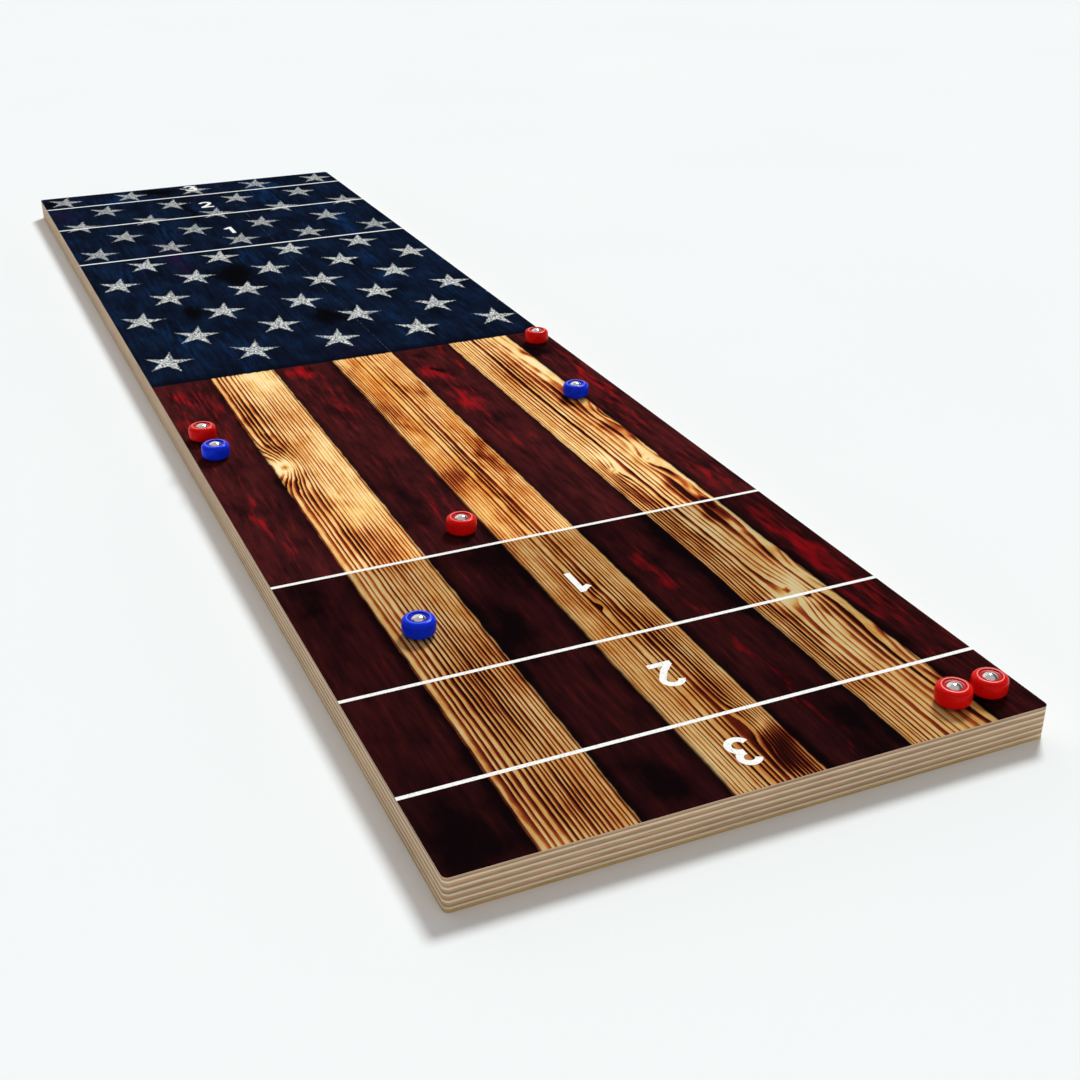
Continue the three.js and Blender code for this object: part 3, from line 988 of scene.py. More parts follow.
    # settings: surface
    relief.inputs["Strength"].default_value = 0.08
    relief.inputs["Distance"].default_value = mm(0.1)
    surface.inputs["Specular IOR Level"].default_value = 0.0

    # links: place and fibres
    links.new(coordinates.outputs["Object"], millimetres.inputs[0])
    links.new(millimetres.outputs[0], place.inputs[0])
    links.new(patchColours.outputs["Color"], patchParts.inputs[0])
    links.new(millimetres.outputs[0], fineStretch.inputs[0])
    links.new(fineStretch.outputs[0], fineFibre.inputs["Vector"])
    links.new(millimetres.outputs[0], streakStretch.inputs[0])
    links.new(streakStretch.outputs[0], streak.inputs["Vector"])
    links.new(millimetres.outputs[0], blotchStretch.inputs[0])
    links.new(blotchStretch.outputs[0], blotch.inputs["Vector"])
    links.new(millimetres.outputs[0], grit.inputs["Vector"])
    links.new(millimetres.outputs[0], speckle.inputs["Vector"])

    # links: plank layout
    links.new(millimetres.outputs[0], wanderPlace.inputs[0])
    links.new(wanderPlace.outputs[0], wander.inputs["Vector"])
    links.new(wander.outputs[0], wanderShift.inputs[0])
    links.new(place.outputs["X"], acrossWandered.inputs[0])
    links.new(wanderShift.outputs[0], acrossWandered.inputs[1])
    links.new(acrossWandered.outputs[0], acrossShare.inputs["Value"])
    links.new(acrossShare.outputs["Result"], goldMask.inputs[0])
    links.new(place.outputs["X"], seamShare.inputs["Value"])
    links.new(seamShare.outputs["Result"], seamMask.inputs[0])
    links.new(streak.outputs[0], alongWandered.inputs[0])
    links.new(place.outputs["Y"], alongWandered.inputs[2])
    links.new(alongWandered.outputs[0], cantonMask.inputs["Value"])
    links.new(alongWandered.outputs[0], cantonShade.inputs["Value"])

    # links: burnt pine
    links.new(wander.outputs[0], ringWobble.inputs[0])
    links.new(rings.outputs["Fac"], ringWobble.inputs[2])
    links.new(ringWobble.outputs[0], ringFloor.inputs[0])
    links.new(ringFloor.outputs[0], ringPick.inputs["W"])
    links.new(ringPick.outputs["Value"], ringStrength.inputs["Value"])
    links.new(ringWobble.outputs[0], ringSaw.inputs[0])
    links.new(patchParts.outputs[0], lateStart.inputs["Value"])
    links.new(ringStrength.outputs["Result"], ringHere.inputs[0])
    links.new(force.outputs["Fac"], ringHere.inputs[1])
    links.new(patchParts.outputs[0], ringScorched.inputs[0])
    links.new(ringHere.outputs[0], ringScorched.inputs[2])
    links.new(streak.outputs[0], lateUneven.inputs[0])
    links.new(lateStart.outputs["Result"], lateUneven.inputs[2])
    links.new(ringSaw.outputs[0], lateWood.inputs["Value"])
    links.new(lateUneven.outputs[0], lateWood.inputs["From Min"])
    links.new(lateWood.outputs["Result"], lateStrong.inputs[0])
    links.new(ringScorched.outputs[0], lateStrong.inputs[1])
    links.new(patchParts.outputs[2], bleachKeep.inputs["Value"])
    links.new(lateStrong.outputs[0], lateBleached.inputs[0])
    links.new(bleachKeep.outputs["Result"], lateBleached.inputs[1])
    links.new(patchParts.outputs[0], burn.inputs[0])
    links.new(lateBleached.outputs[0], burn.inputs[2])
    links.new(patchParts.outputs[1], burnTint.inputs[0])
    links.new(burn.outputs[0], burnTint.inputs[2])
    links.new(fineFibre.outputs[0], burnFibre.inputs[0])
    links.new(burnTint.outputs[0], burnFibre.inputs[2])
    links.new(blotch.outputs[0], burnBlotch.inputs[0])
    links.new(burnFibre.outputs[0], burnBlotch.inputs[2])
    links.new(patchParts.outputs[2], burnLight.inputs[0])
    links.new(burnBlotch.outputs[0], burnLight.inputs[2])
    links.new(burnLight.outputs[0], goldColour.inputs[0])
    links.new(patchParts.outputs[1], amberShare.inputs[0])
    links.new(amberShare.outputs[0], amber.inputs[0])
    links.new(goldColour.outputs[0], amber.inputs[6])

    # links: painted planks
    links.new(streak.outputs[0], streakShare.inputs[0])
    links.new(blotch.outputs[0], paintNoise.inputs[0])
    links.new(streakShare.outputs[0], paintNoise.inputs[2])
    links.new(paintNoise.outputs[0], maroon.inputs[0])
    links.new(patchParts.outputs[1], redField.inputs[0])
    links.new(streak.outputs[0], redField.inputs[2])
    links.new(redField.outputs[0], redMask.inputs["Value"])
    links.new(redMask.outputs["Result"], redPaint.inputs[0])
    links.new(maroon.outputs[0], redPaint.inputs[6])
    links.new(seamShare.outputs["Result"], borderMask.inputs[0])
    links.new(borderMask.outputs[0], sootBorder.inputs[0])
    links.new(blotch.outputs[0], sootBorder.inputs[2])
    links.new(patchParts.outputs[0], sootField.inputs[0])
    links.new(sootBorder.outputs[0], sootField.inputs[2])
    links.new(nearZone.outputs[0], sootZone.inputs[0])
    links.new(sootField.outputs[0], sootZone.inputs[2])
    links.new(sootZone.outputs[0], sootMask.inputs["Value"])
    links.new(sootMask.outputs["Result"], sootPaint.inputs[0])
    links.new(redPaint.outputs[2], sootPaint.inputs[6])

    # links: canton
    links.new(paintNoise.outputs[0], navy.inputs[0])
    links.new(patchParts.outputs[2], blueField.inputs[0])
    links.new(streak.outputs[0], blueField.inputs[2])
    links.new(blueField.outputs[0], blueMask.inputs["Value"])
    links.new(blueMask.outputs["Result"], bluePaint.inputs[0])
    links.new(navy.outputs[0], bluePaint.inputs[6])
    links.new(patchParts.outputs[1], plumMask.inputs[0])
    links.new(plumMask.outputs[0], plumPaint.inputs[0])
    links.new(bluePaint.outputs[2], plumPaint.inputs[6])
    links.new(seamMask.outputs[0], seamField.inputs[0])
    links.new(grit.outputs[0], seamField.inputs[1])
    links.new(seamField.outputs[0], seamPaint.inputs[0])
    links.new(plumPaint.outputs[2], seamPaint.inputs[6])
    links.new(patchParts.outputs[0], cantonField.inputs[0])
    links.new(grit.outputs[0], cantonField.inputs[2])
    links.new(cantonField.outputs[0], cantonSootMask.inputs["Value"])
    links.new(cantonSootMask.outputs["Result"], cantonSoot.inputs[0])
    links.new(seamPaint.outputs[2], cantonSoot.inputs[6])
    links.new(cantonShade.outputs["Result"], shadePaint.inputs[0])
    links.new(cantonSoot.outputs[2], shadePaint.inputs[6])

    # links: stars
    links.new(place.outputs["Y"], rowPlace.inputs[0])
    links.new(rowPlace.outputs[0], rowNumber.inputs[0])
    links.new(rowNumber.outputs[0], rowOffset.inputs[0])
    links.new(rowPlace.outputs[0], rowOffset.inputs[1])
    links.new(rowNumber.outputs[0], rowParity.inputs[0])
    links.new(rowParity.outputs[0], columnShift.inputs[0])
    links.new(place.outputs["X"], columnShift.inputs[2])
    links.new(columnShift.outputs[0], columnWrap.inputs[0])
    links.new(columnWrap.outputs[0], starPlace.inputs["X"])
    links.new(rowOffset.outputs[0], starPlace.inputs["Y"])
    links.new(starPlace.outputs[0], starScale.inputs[0])
    links.new(starScale.outputs[0], starRadius.inputs[0])
    links.new(starScale.outputs[0], starParts.inputs[0])
    links.new(starParts.outputs["Y"], starAngle.inputs[0])
    links.new(starParts.outputs["X"], starAngle.inputs[1])
    links.new(starAngle.outputs[0], armAngle.inputs[0])
    links.new(armAngle.outputs[0], armFold.inputs[0])
    links.new(armFold.outputs[0], armCosine.inputs[0])
    links.new(armFold.outputs[0], armSine.inputs[0])
    links.new(armSine.outputs[0], armEdge.inputs[0])
    links.new(armCosine.outputs[0], armEdge.inputs[2])
    links.new(starRadius.outputs["Value"], starField.inputs[0])
    links.new(armEdge.outputs[0], starField.inputs[1])
    links.new(grit.outputs[0], starRagged.inputs[0])
    links.new(starField.outputs[0], starRagged.inputs[2])
    links.new(starRagged.outputs[0], starShape.inputs["Value"])
    links.new(rowNumber.outputs[0], starRows.inputs[0])
    links.new(place.outputs["X"], starMargin.inputs[0])
    links.new(speckle.outputs[0], starWear.inputs["Value"])
    links.new(starShape.outputs["Result"], starInRows.inputs[0])
    links.new(starRows.outputs[0], starInRows.inputs[1])
    links.new(starInRows.outputs[0], starInMargin.inputs[0])
    links.new(starMargin.outputs[0], starInMargin.inputs[1])
    links.new(starInMargin.outputs[0], starOpacity.inputs[0])
    links.new(starWear.outputs["Result"], starOpacity.inputs[1])
    links.new(place.outputs["Y"], farZone.inputs[0])
    links.new(farZone.outputs[0], farFade.inputs["Value"])
    links.new(starOpacity.outputs[0], starFaded.inputs[0])
    links.new(farFade.outputs["Result"], starFaded.inputs[1])
    links.new(starWear.outputs["Result"], starColour.inputs[0])
    links.new(starFaded.outputs[0], starPaint.inputs[0])
    links.new(shadePaint.outputs[2], starPaint.inputs[6])
    links.new(starColour.outputs[2], starPaint.inputs[7])
    links.new(place.outputs["X"], scratchNear.inputs[0])
    links.new(grit.outputs[0], scratchDash.inputs[0])
    links.new(scratchNear.outputs[0], scratch.inputs[0])
    links.new(scratchDash.outputs[0], scratch.inputs[1])
    links.new(scratch.outputs[0], scratchPaint.inputs[0])
    links.new(starPaint.outputs[2], scratchPaint.inputs[6])

    # links: joining and surface
    links.new(goldMask.outputs[0], woodMix.inputs[0])
    links.new(sootPaint.outputs[2], woodMix.inputs[6])
    links.new(amber.outputs[2], woodMix.inputs[7])
    links.new(seamField.outputs[0], seamThin.inputs[0])
    links.new(seamThin.outputs[0], seamDark.inputs[0])
    links.new(woodMix.outputs[2], seamDark.inputs[6])
    links.new(cantonMask.outputs["Result"], cantonMix.inputs[0])
    links.new(seamDark.outputs[2], cantonMix.inputs[6])
    links.new(scratchPaint.outputs[2], cantonMix.inputs[7])
    links.new(place.outputs["Y"], nearZone.inputs[0])
    links.new(nearZone.outputs[0], zoneValue.inputs["Value"])
    links.new(zoneValue.outputs["Result"], zoneTone.inputs["Value"])
    links.new(cantonMix.outputs[2], zoneTone.inputs["Color"])
    links.new(coordinates.outputs["Normal"], sheetNormal.inputs[0])
    links.new(sheetNormal.outputs["Z"], sheetTop.inputs["Value"])
    links.new(sheetTop.outputs["Result"], sheetMix.inputs[0])
    links.new(zoneTone.outputs[0], sheetMix.inputs[7])
    links.new(sheetMix.outputs[2], surface.inputs["Base Color"])
    links.new(fineFibre.outputs[0], roughness.inputs["Value"])
    links.new(roughness.outputs["Result"], surface.inputs["Roughness"])
    links.new(fineFibre.outputs[0], relief.inputs["Height"])
    links.new(relief.outputs[0], surface.inputs["Normal"])
    links.new(surface.outputs[0], output.inputs["Surface"])
    return material


sheet = {
    "tiles": 4,
    "gridStep": 2.6,
    "closestLines": 0.45,
    "fineKnot": 5.0,  # knots narrower than this get a closer grid
    "knotStep": 1.1,
    "knotReach": 7.0,
    "sharpPatch": 1.2,  # patches stronger than this keep their outline
    "cornerLines": (0.0, 0.6, 1.2, 2.1, 3.0),
}


def gridLines(low, high, centres):
    # even lines between two places, closer beside each centre, in millimetres
    count = math.ceil((high - low) / sheet["gridStep"])
    lines = set(np.round(np.linspace(low, high, count + 1), 3))
    for centre in centres:
        extra = np.arange(centre - sheet["knotReach"], centre + sheet["knotReach"], sheet["knotStep"])
        lines.update(np.round(value, 3) for value in extra if low < value < high)
    kept = [low]
    for value in sorted(lines)[1:-1]:
        if min(value - kept[-1], high - value) > sheet["closestLines"]:
            kept.append(float(value))
    return kept + [high]


def roundCorners(x, y, halfWidth, halfLength, radius):
    # points of a square corner are pulled in to the round one, in place
    overX = np.abs(x) - (halfWidth - radius)
    overY = np.abs(y) - (halfLength - radius)
    corner = (overX > 1e-6) & (overY > 1e-6)
    reach = np.maximum(overX, overY)[corner]
    length = np.hypot(overX, overY)[corner]
    x[corner] = np.sign(x[corner]) * (halfWidth - radius + overX[corner] * reach / length)
    y[corner] = np.sign(y[corner]) * (halfLength - radius + overY[corner] * reach / length)


def patchStrengths(x, y):
    # red, green and blue hold how strong scorch, tint and light are
    colours = np.ones((len(x), 4), np.float32)
    pushedX, pushedY = uneven(x, y)
    for channel, kind in enumerate(["scorch", "tint", "light"]):
        sharp = [patch for patch in patches[kind] if patch[4] > sheet["sharpPatch"]]
        soft = [patch for patch in patches[kind] if patch[4] <= sheet["sharpPatch"]]
        colours[:, channel] = np.maximum(ellipses(pushedX, pushedY, soft), ellipses(x, y, sharp))
    return colours


def sheetTile(number, material):
    # one lengthwise part of the printed sheet, closed, with the artwork's patches at its vertices
    halfWidth = 1000.0 * board["halfWidth"]
    halfLength = 1000.0 * board["halfLength"]
    radius = 1000.0 * board["cornerRadius"]
    near = -halfLength + 2.0 * halfLength * number / sheet["tiles"]
    far = -halfLength + 2.0 * halfLength * (number + 1) / sheet["tiles"]
    firstTile = number == 0
    lastTile = number == sheet["tiles"] - 1
    edge = sheet["cornerLines"][:-1]
    knots = [knot for plank in grain for knot in plank["knots"] if knot[2] < sheet["fineKnot"]]
    acrossLines = gridLines(-halfWidth + radius, halfWidth - radius, [knot[0] for knot in knots])
    acrossLines = [-halfWidth + line for line in edge] + acrossLines
    acrossLines += [halfWidth - line for line in reversed(edge)]
    alongLow = near + radius if firstTile else near
    alongHigh = far - radius if lastTile else far
    alongLines = gridLines(alongLow, alongHigh, [knot[1] for knot in knots])
    if firstTile:
        alongLines = [near + line for line in edge] + alongLines
    if lastTile:
        alongLines += [far - line for line in reversed(edge)]
    x, y = np.meshgrid(np.array(acrossLines), np.array(alongLines))
    x, y = x.ravel(), y.ravel()
    roundCorners(x, y, halfWidth, halfLength, radius)

    columns, rows = len(acrossLines), len(alongLines)
    top = 1000.0 * board["top"]
    bottom = 1000.0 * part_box("face_print")[0].z
    points = [(a, b, top) for a, b in zip(x, y)]
    faces = []
    for row in range(rows - 1):
        for column in range(columns - 1):
            first = row * columns + column
            faces.append((first, first + 1, first + columns + 1, first + columns))
    rim = list(range(columns - 1))
    rim += [row * columns + columns - 1 for row in range(rows - 1)]
    rim += [(rows - 1) * columns + column for column in range(columns - 1, 0, -1)]
    rim += [row * columns for row in range(rows - 1, 0, -1)]
    under = len(points)
    points += [(x[index], y[index], bottom) for index in rim]
    for step, index in enumerate(rim):
        after = (step + 1) % len(rim)
        faces.append((under + step, under + after, rim[after], index))
    faces.append(tuple(range(under + len(rim) - 1, under - 1, -1)))

    mesh = newMesh("sheetTile%d" % (number + 1), [(mm(a), mm(b), mm(c)) for a, b, c in points], faces)
    allX = np.array([point[0] for point in points])
    allY = np.array([point[1] for point in points])
    rings, force = growthRings(allX, allY)
    storeValues(mesh, "rings", rings)
    storeValues(mesh, "force", force)
    storeValues(mesh, "patches", patchStrengths(allX, allY), "FLOAT_COLOR", "color")
    mesh.shade_flat()
    addPiece("face_print_part_%d" % (number + 1), mesh, material, "board", ["face_print"])


artwork = artMaterial()
for number in range(sheet["tiles"]):
    sheetTile(number, artwork)
print("printed sheet ready")

# ---- Scoring lines and numerals ----

ink = {
    "thickness": mm(0.03),
    "crossingDrop": 0.2,
    "lineWidth": mm(2.5),
    "lines": [538.1, 453.9, 329.7, -322.9, -444.8, -526.9],
    "stroke": mm(3.6),
    "halfHeight": mm(11.2),
    "arcSteps": 18,
    "farColumn": -1.2,
    "nearColumn": 1.7,
    "farNumerals": [(1, 391.4), (2, 496.1), (3, 569.7)],
    "nearNumerals": [(1, -383.5), (2, -486.2), (3, -556.9)],
    "white": paint(250, 250, 248),
    "worn": paint(214, 212, 208),
}


def inkMaterial():
    material, nodes, links = newMaterial("whiteInk")

    output = nodes.new("ShaderNodeOutputMaterial")
    output.label = "white ink"
    surface = nodes.new("ShaderNodeBsdfPrincipled")
    surface.label = "printed ink"
    coordinates = nodes.new("ShaderNodeTexCoord")
    coordinates.label = "place on the board"
    speckle = nodes.new("ShaderNodeTexNoise")
    speckle.label = "ink density"
    density = nodes.new("ShaderNodeMapRange")
    density.label = "mostly solid"
    tone = nodes.new("ShaderNodeMix")
    tone.label = "worn to solid white"
    roughness = nodes.new("ShaderNodeMapRange")
    roughness.label = "satin variation"
    relief = nodes.new("ShaderNodeBump")
    relief.label = "ink grain"

    groups = {
        "Pattern": [coordinates, speckle, density],
        "Surface": [tone, roughness, relief, surface, output],
    }
    layOut(nodes, groups)

    speckle.inputs["Scale"].default_value = 900.0
    speckle.inputs["Detail"].default_value = 4.0
    density.inputs["From Min"].default_value = 0.3
    density.inputs["From Max"].default_value = 0.5
    tone.data_type = "RGBA"
    tone.inputs[6].default_value = ink["worn"]
    tone.inputs[7].default_value = ink["white"]
    roughness.inputs["To Min"].default_value = 0.5
    roughness.inputs["To Max"].default_value = 0.7
    relief.inputs["Strength"].default_value = 0.15
    relief.inputs["Distance"].default_value = mm(0.03)
    surface.inputs["Specular IOR Level"].default_value = 0.05

    links.new(coordinates.outputs["Object"], speckle.inputs["Vector"])
    links.new(speckle.outputs[0], density.inputs["Value"])
    links.new(density.outputs["Result"], tone.inputs[0])
    links.new(tone.outputs[2], surface.inputs["Base Color"])
    links.new(speckle.outputs[0], roughness.inputs["Value"])
    links.new(roughness.outputs["Result"], surface.inputs["Roughness"])
    links.new(speckle.outputs[0], relief.inputs["Height"])
    links.new(relief.outputs[0], surface.inputs["Normal"])
    links.new(surface.outputs[0], output.inputs["Surface"])
    return material


def ribbon(path, width):
    # left and right sides of a flat-ended stroke along a path
    left = []
    right = []
    for index, (x, y) in enumerate(path):
        beforeX, beforeY = path[max(index - 1, 0)]
        afterX, afterY = path[min(index + 1, len(path) - 1)]
        length = math.hypot(afterX - beforeX, afterY - beforeY)
        sideX = -(afterY - beforeY) / length * width / 2.0
        sideY = (afterX - beforeX) / length * width / 2.0
        left.append((x + sideX, y + sideY))
        right.append((x - sideX, y - sideY))
    return left, right


def arcPath(centreX, centreY, radiusX, radiusY, start, end):
    # from one angle to another, in degrees
    points = []
    for step in range(ink["arcSteps"] + 1):
        angle = math.radians(start + (end - start) * step / ink["arcSteps"])
        points.append((centreX + radiusX * math.cos(angle), centreY + radiusY * math.sin(angle)))
    return points


def numeralStrokes(numeral):
    # centre lines of the strokes about the numeral's middle
    half = ink["stroke"] / 2.0
    top = ink["halfHeight"] - half
    if numeral == 1:
        stem = [(mm(1.5), -ink["halfHeight"]), (mm(1.5), mm(2.0)), (mm(1.5), ink["halfHeight"])]
        flag = [(mm(-4.3), mm(5.4)), (mm(-1.6), mm(6.9)), (mm(1.0), mm(9.4))]
        return [stem, flag]
    if numeral == 2:
        bowl = arcPath(mm(0.1), mm(4.9), mm(4.7), top - mm(4.9), 168.0, -28.0)
        diagonal = bowl + [(mm(0.6), mm(-3.2)), (mm(-4.6), mm(-8.6))]
        foot = [(mm(-6.4), -top), (mm(0.0), -top), (mm(6.4), -top)]
        return [diagonal, foot]
    upper = arcPath(mm(-0.2), mm(5.15), mm(4.4), top - mm(5.15), 160.0, -95.0)
    lower = arcPath(mm(-0.1), mm(-4.55), mm(4.9), top - mm(4.55), 95.0, -160.0)
    return [upper, lower]


def inkMesh(name, strokes):
    # each stroke is a closed strip; every other one lies a hair lower so that crossings stay clean
    points = []
    faces = []
    for order, (path, width) in enumerate(strokes):
        left, right = ribbon(path, width)
        top = board["top"] + ink["thickness"] * (1.0 - ink["crossingDrop"] * (order % 2))
        count = len(path)
        first = len(points)
        for z in (board["top"], top):
            points += [(x, y, z) for x, y in left]
            points += [(x, y, z) for x, y in right]
        lowLeft, highLeft = first, first + 2 * count
        lowRight, highRight = lowLeft + count, highLeft + count
        for step in range(count - 1):
            after = step + 1
            faces.append((highLeft + step, highRight + step, highRight + after, highLeft + after))
            faces.append((lowLeft + step, lowLeft + after, lowRight + after, lowRight + step))
            faces.append((lowLeft + step, highLeft + step, highLeft + after, lowLeft + after))
            faces.append((lowRight + step, lowRight + after, highRight + after, highRight + step))
        last = count - 1
        faces.append((lowLeft, lowRight, highRight, highLeft))
        faces.append((lowLeft + last, highLeft + last, highRight + last, lowRight + last))
    return newMesh(name, points, faces)


whiteInk = inkMaterial()
lineStrokes = []
for along in ink["lines"]:
    edge = board["halfWidth"]
    lineStrokes.append(([(-edge, mm(along)), (0.0, mm(along)), (edge, mm(along))], ink["lineWidth"]))
addPiece("scoring_lines", inkMesh("scoringLines", lineStrokes), whiteInk, "board")
for facing, column, numerals in ((1, ink["farColumn"], ink["farNumerals"]),
                                 (-1, ink["nearColumn"], ink["nearNumerals"])):
    for numeral, along in numerals:
        strokes = []
        for path in numeralStrokes(numeral):
            placed = [(mm(column) + facing * x, mm(along) + facing * y) for x, y in path]
            strokes.append((placed, ink["stroke"]))
        end = "far" if facing == 1 else "near"
        name = "numeral_%s_%d" % (end, numeral)
        addPiece(name, inkMesh(name, strokes), whiteInk, "board")
print("ink ready")

# ---- Pucks ----

puck = {
    "radius": 9.0,
    "halfHeight": 4.7,
    "barrelBulge": 0.12,
    "shoulderRadius": 2.6,
    "rimInner": 5.8,
    # radii of the rim's crest, which gets a painted highlight
    "crest": (6.0, 6.5),
    "crestDepth": 0.1,
    "rimRounding": 0.28,
    "rimTurn": 0.83,  # of half a turn
    "rimSteps": 5,
    "dishOuter": 5.25,
    "dishDepth": 0.58,
    "dishSlope": 0.06,
    "dishFoot": (0.03, 0.12),
    "dishFillet": 0.25,
    # parts of the dish farther than this from the puck's mid-height get painted shade
    "dishAbove": 3.35,
    "ballRadius": 5.556,
    "socketRadius": 5.706,
    "lipRadius": 3.85,
    "lipUnder": [(4.0, 3.95), (4.257, 3.8)],
    "counterbore": 6.65,
    "retainerFit": 0.1,
    "retainerChamfer": 0.1,
    "skirt": 0.35,
    "sides": 96,
    "arcSteps": 14,
    "sideSteps": 6,
    "ballSides": 72,
    "ballSteps": 36,
    "colours": {
        # crest is a painted highlight colour for the rim's crest, standing in for reflected overhead light
        # dish is a painted shade colour for the recessed dish floor
        "red": {"base": paint(222, 16, 12), "deep": paint(176, 6, 8), "scuff": paint(232, 60, 48),
                "crest": paint(244, 176, 166), "dish": paint(184, 8, 6)},
        "blue": {"base": paint(14, 50, 232), "deep": paint(6, 22, 170), "scuff": paint(60, 92, 240),
                 "crest": paint(128, 156, 244), "dish": paint(6, 22, 176)},
    },
}


def plasticMaterial(name, look):
    material, nodes, links = newMaterial(name)

    output = nodes.new("ShaderNodeOutputMaterial")
    output.label = "moulded puck"
    surface = nodes.new("ShaderNodeBsdfPrincipled")
    surface.label = "glossy moulded plastic"
    coordinates = nodes.new("ShaderNodeTexCoord")
    coordinates.label = "place on the puck"
    swirl = nodes.new("ShaderNodeTexNoise")
    swirl.label = "pigment swirl"
    swirlShare = nodes.new("ShaderNodeMapRange")
    swirlShare.label = "how much deep pigment"
    pigment = nodes.new("ShaderNodeMix")
    pigment.label = "base and deep pigment"
    scuffStretch = nodes.new("ShaderNodeVectorMath")
    scuffStretch.label = "scuffs run round the side"
    scuff = nodes.new("ShaderNodeTexNoise")
    scuff.label = "scuff marks"
    scuffShare = nodes.new("ShaderNodeMapRange")
    scuffShare.label = "only the strongest"
    scuffed = nodes.new("ShaderNodeMix")
    scuffed.label = "pale scuffs"
    crest = nodes.new("ShaderNodeAttribute")
    crest.label = "crest of the rim"
    crestHighlightShare = nodes.new("ShaderNodeMath")
    crestHighlightShare.label = "how much painted highlight"
    paintedCrestHighlight = nodes.new("ShaderNodeMix")
    paintedCrestHighlight.label = "painted highlight on the crest"
    dishShadeShare = nodes.new("ShaderNodeMath")
    dishShadeShare.label = "inside the dish"
    paintedDishShade = nodes.new("ShaderNodeMix")
    paintedDishShade.label = "painted shade in the dish"
    satin = nodes.new("ShaderNodeTexNoise")
    satin.label = "handled surface"
    roughness = nodes.new("ShaderNodeMapRange")
    roughness.label = "gloss variation"
    relief = nodes.new("ShaderNodeBump")
    relief.label = "moulded texture"

    groups = {
        "Pigment": [coordinates, swirl, swirlShare, pigment],
        "Scuffs and painted light": [scuffStretch, scuff, scuffShare, scuffed, crest, crestHighlightShare, paintedCrestHighlight, dishShadeShare,
                 paintedDishShade],
        "Surface": [satin, roughness, relief, surface, output],
    }
    layOut(nodes, groups)

    swirl.inputs["Scale"].default_value = 190.0
    swirl.inputs["Detail"].default_value = 3.0
    swirl.inputs["Distortion"].default_value = 1.2
    swirlShare.inputs["From Min"].default_value = 0.35
    swirlShare.inputs["From Max"].default_value = 0.75
    swirlShare.inputs["To Max"].default_value = 0.35
    pigment.data_type = "RGBA"
    pigment.inputs[6].default_value = look["base"]
    pigment.inputs[7].default_value = look["deep"]
    scuffStretch.operation = "MULTIPLY"
    scuffStretch.inputs[1].default_value = (300.0, 300.0, 2400.0)
    scuff.inputs["Scale"].default_value = 1.0
    scuff.inputs["Detail"].default_value = 3.0
    scuffShare.inputs["From Min"].default_value = 0.62
    scuffShare.inputs["From Max"].default_value = 0.8
    scuffShare.inputs["To Max"].default_value = 0.25
    scuffed.data_type = "RGBA"
    scuffed.inputs[7].default_value = look["scuff"]
    satin.inputs["Scale"].default_value = 420.0
    satin.inputs["Detail"].default_value = 2.0
    crest.attribute_name = "crest"
    # the pale crest colour is a painted highlight, standing in for overhead light reflected at the rim's
    # crest
    crestHighlightShare.operation = "MULTIPLY"
    crestHighlightShare.inputs[1].default_value = 0.75
    paintedCrestHighlight.data_type = "RGBA"
    paintedCrestHighlight.inputs[7].default_value = look["crest"]
    # the darker dish colour is painted shade on the dish floor
    dishShadeShare.operation = "MULTIPLY"
    dishShadeShare.use_clamp = True
    dishShadeShare.inputs[1].default_value = -0.9
    paintedDishShade.data_type = "RGBA"
    paintedDishShade.inputs[7].default_value = look["dish"]
    roughness.inputs["To Min"].default_value = 0.15
    roughness.inputs["To Max"].default_value = 0.26
    relief.inputs["Strength"].default_value = 0.06
    relief.inputs["Distance"].default_value = mm(0.06)
    surface.inputs["Specular IOR Level"].default_value = 0.06

    links.new(coordinates.outputs["Object"], swirl.inputs["Vector"])
    links.new(swirl.outputs[0], swirlShare.inputs["Value"])
    links.new(swirlShare.outputs["Result"], pigment.inputs[0])
    links.new(coordinates.outputs["Object"], scuffStretch.inputs[0])
    links.new(scuffStretch.outputs[0], scuff.inputs["Vector"])
    links.new(scuff.outputs[0], scuffShare.inputs["Value"])
    links.new(scuffShare.outputs["Result"], scuffed.inputs[0])
    links.new(pigment.outputs[2], scuffed.inputs[6])
    links.new(crest.outputs["Fac"], crestHighlightShare.inputs[0])
    links.new(crestHighlightShare.outputs[0], paintedCrestHighlight.inputs[0])
    links.new(scuffed.outputs[2], paintedCrestHighlight.inputs[6])
    links.new(crest.outputs["Fac"], dishShadeShare.inputs[0])
    links.new(dishShadeShare.outputs[0], paintedDishShade.inputs[0])
    links.new(paintedCrestHighlight.outputs[2], paintedDishShade.inputs[6])
    links.new(paintedDishShade.outputs[2], surface.inputs["Base Color"])
    links.new(coordinates.outputs["Object"], satin.inputs["Vector"])
    links.new(satin.outputs[0], roughness.inputs["Value"])
    links.new(roughness.outputs["Result"], surface.inputs["Roughness"])
    links.new(satin.outputs[0], relief.inputs["Height"])
    links.new(relief.outputs[0], surface.inputs["Normal"])
    links.new(surface.outputs[0], output.inputs["Surface"])
    return material


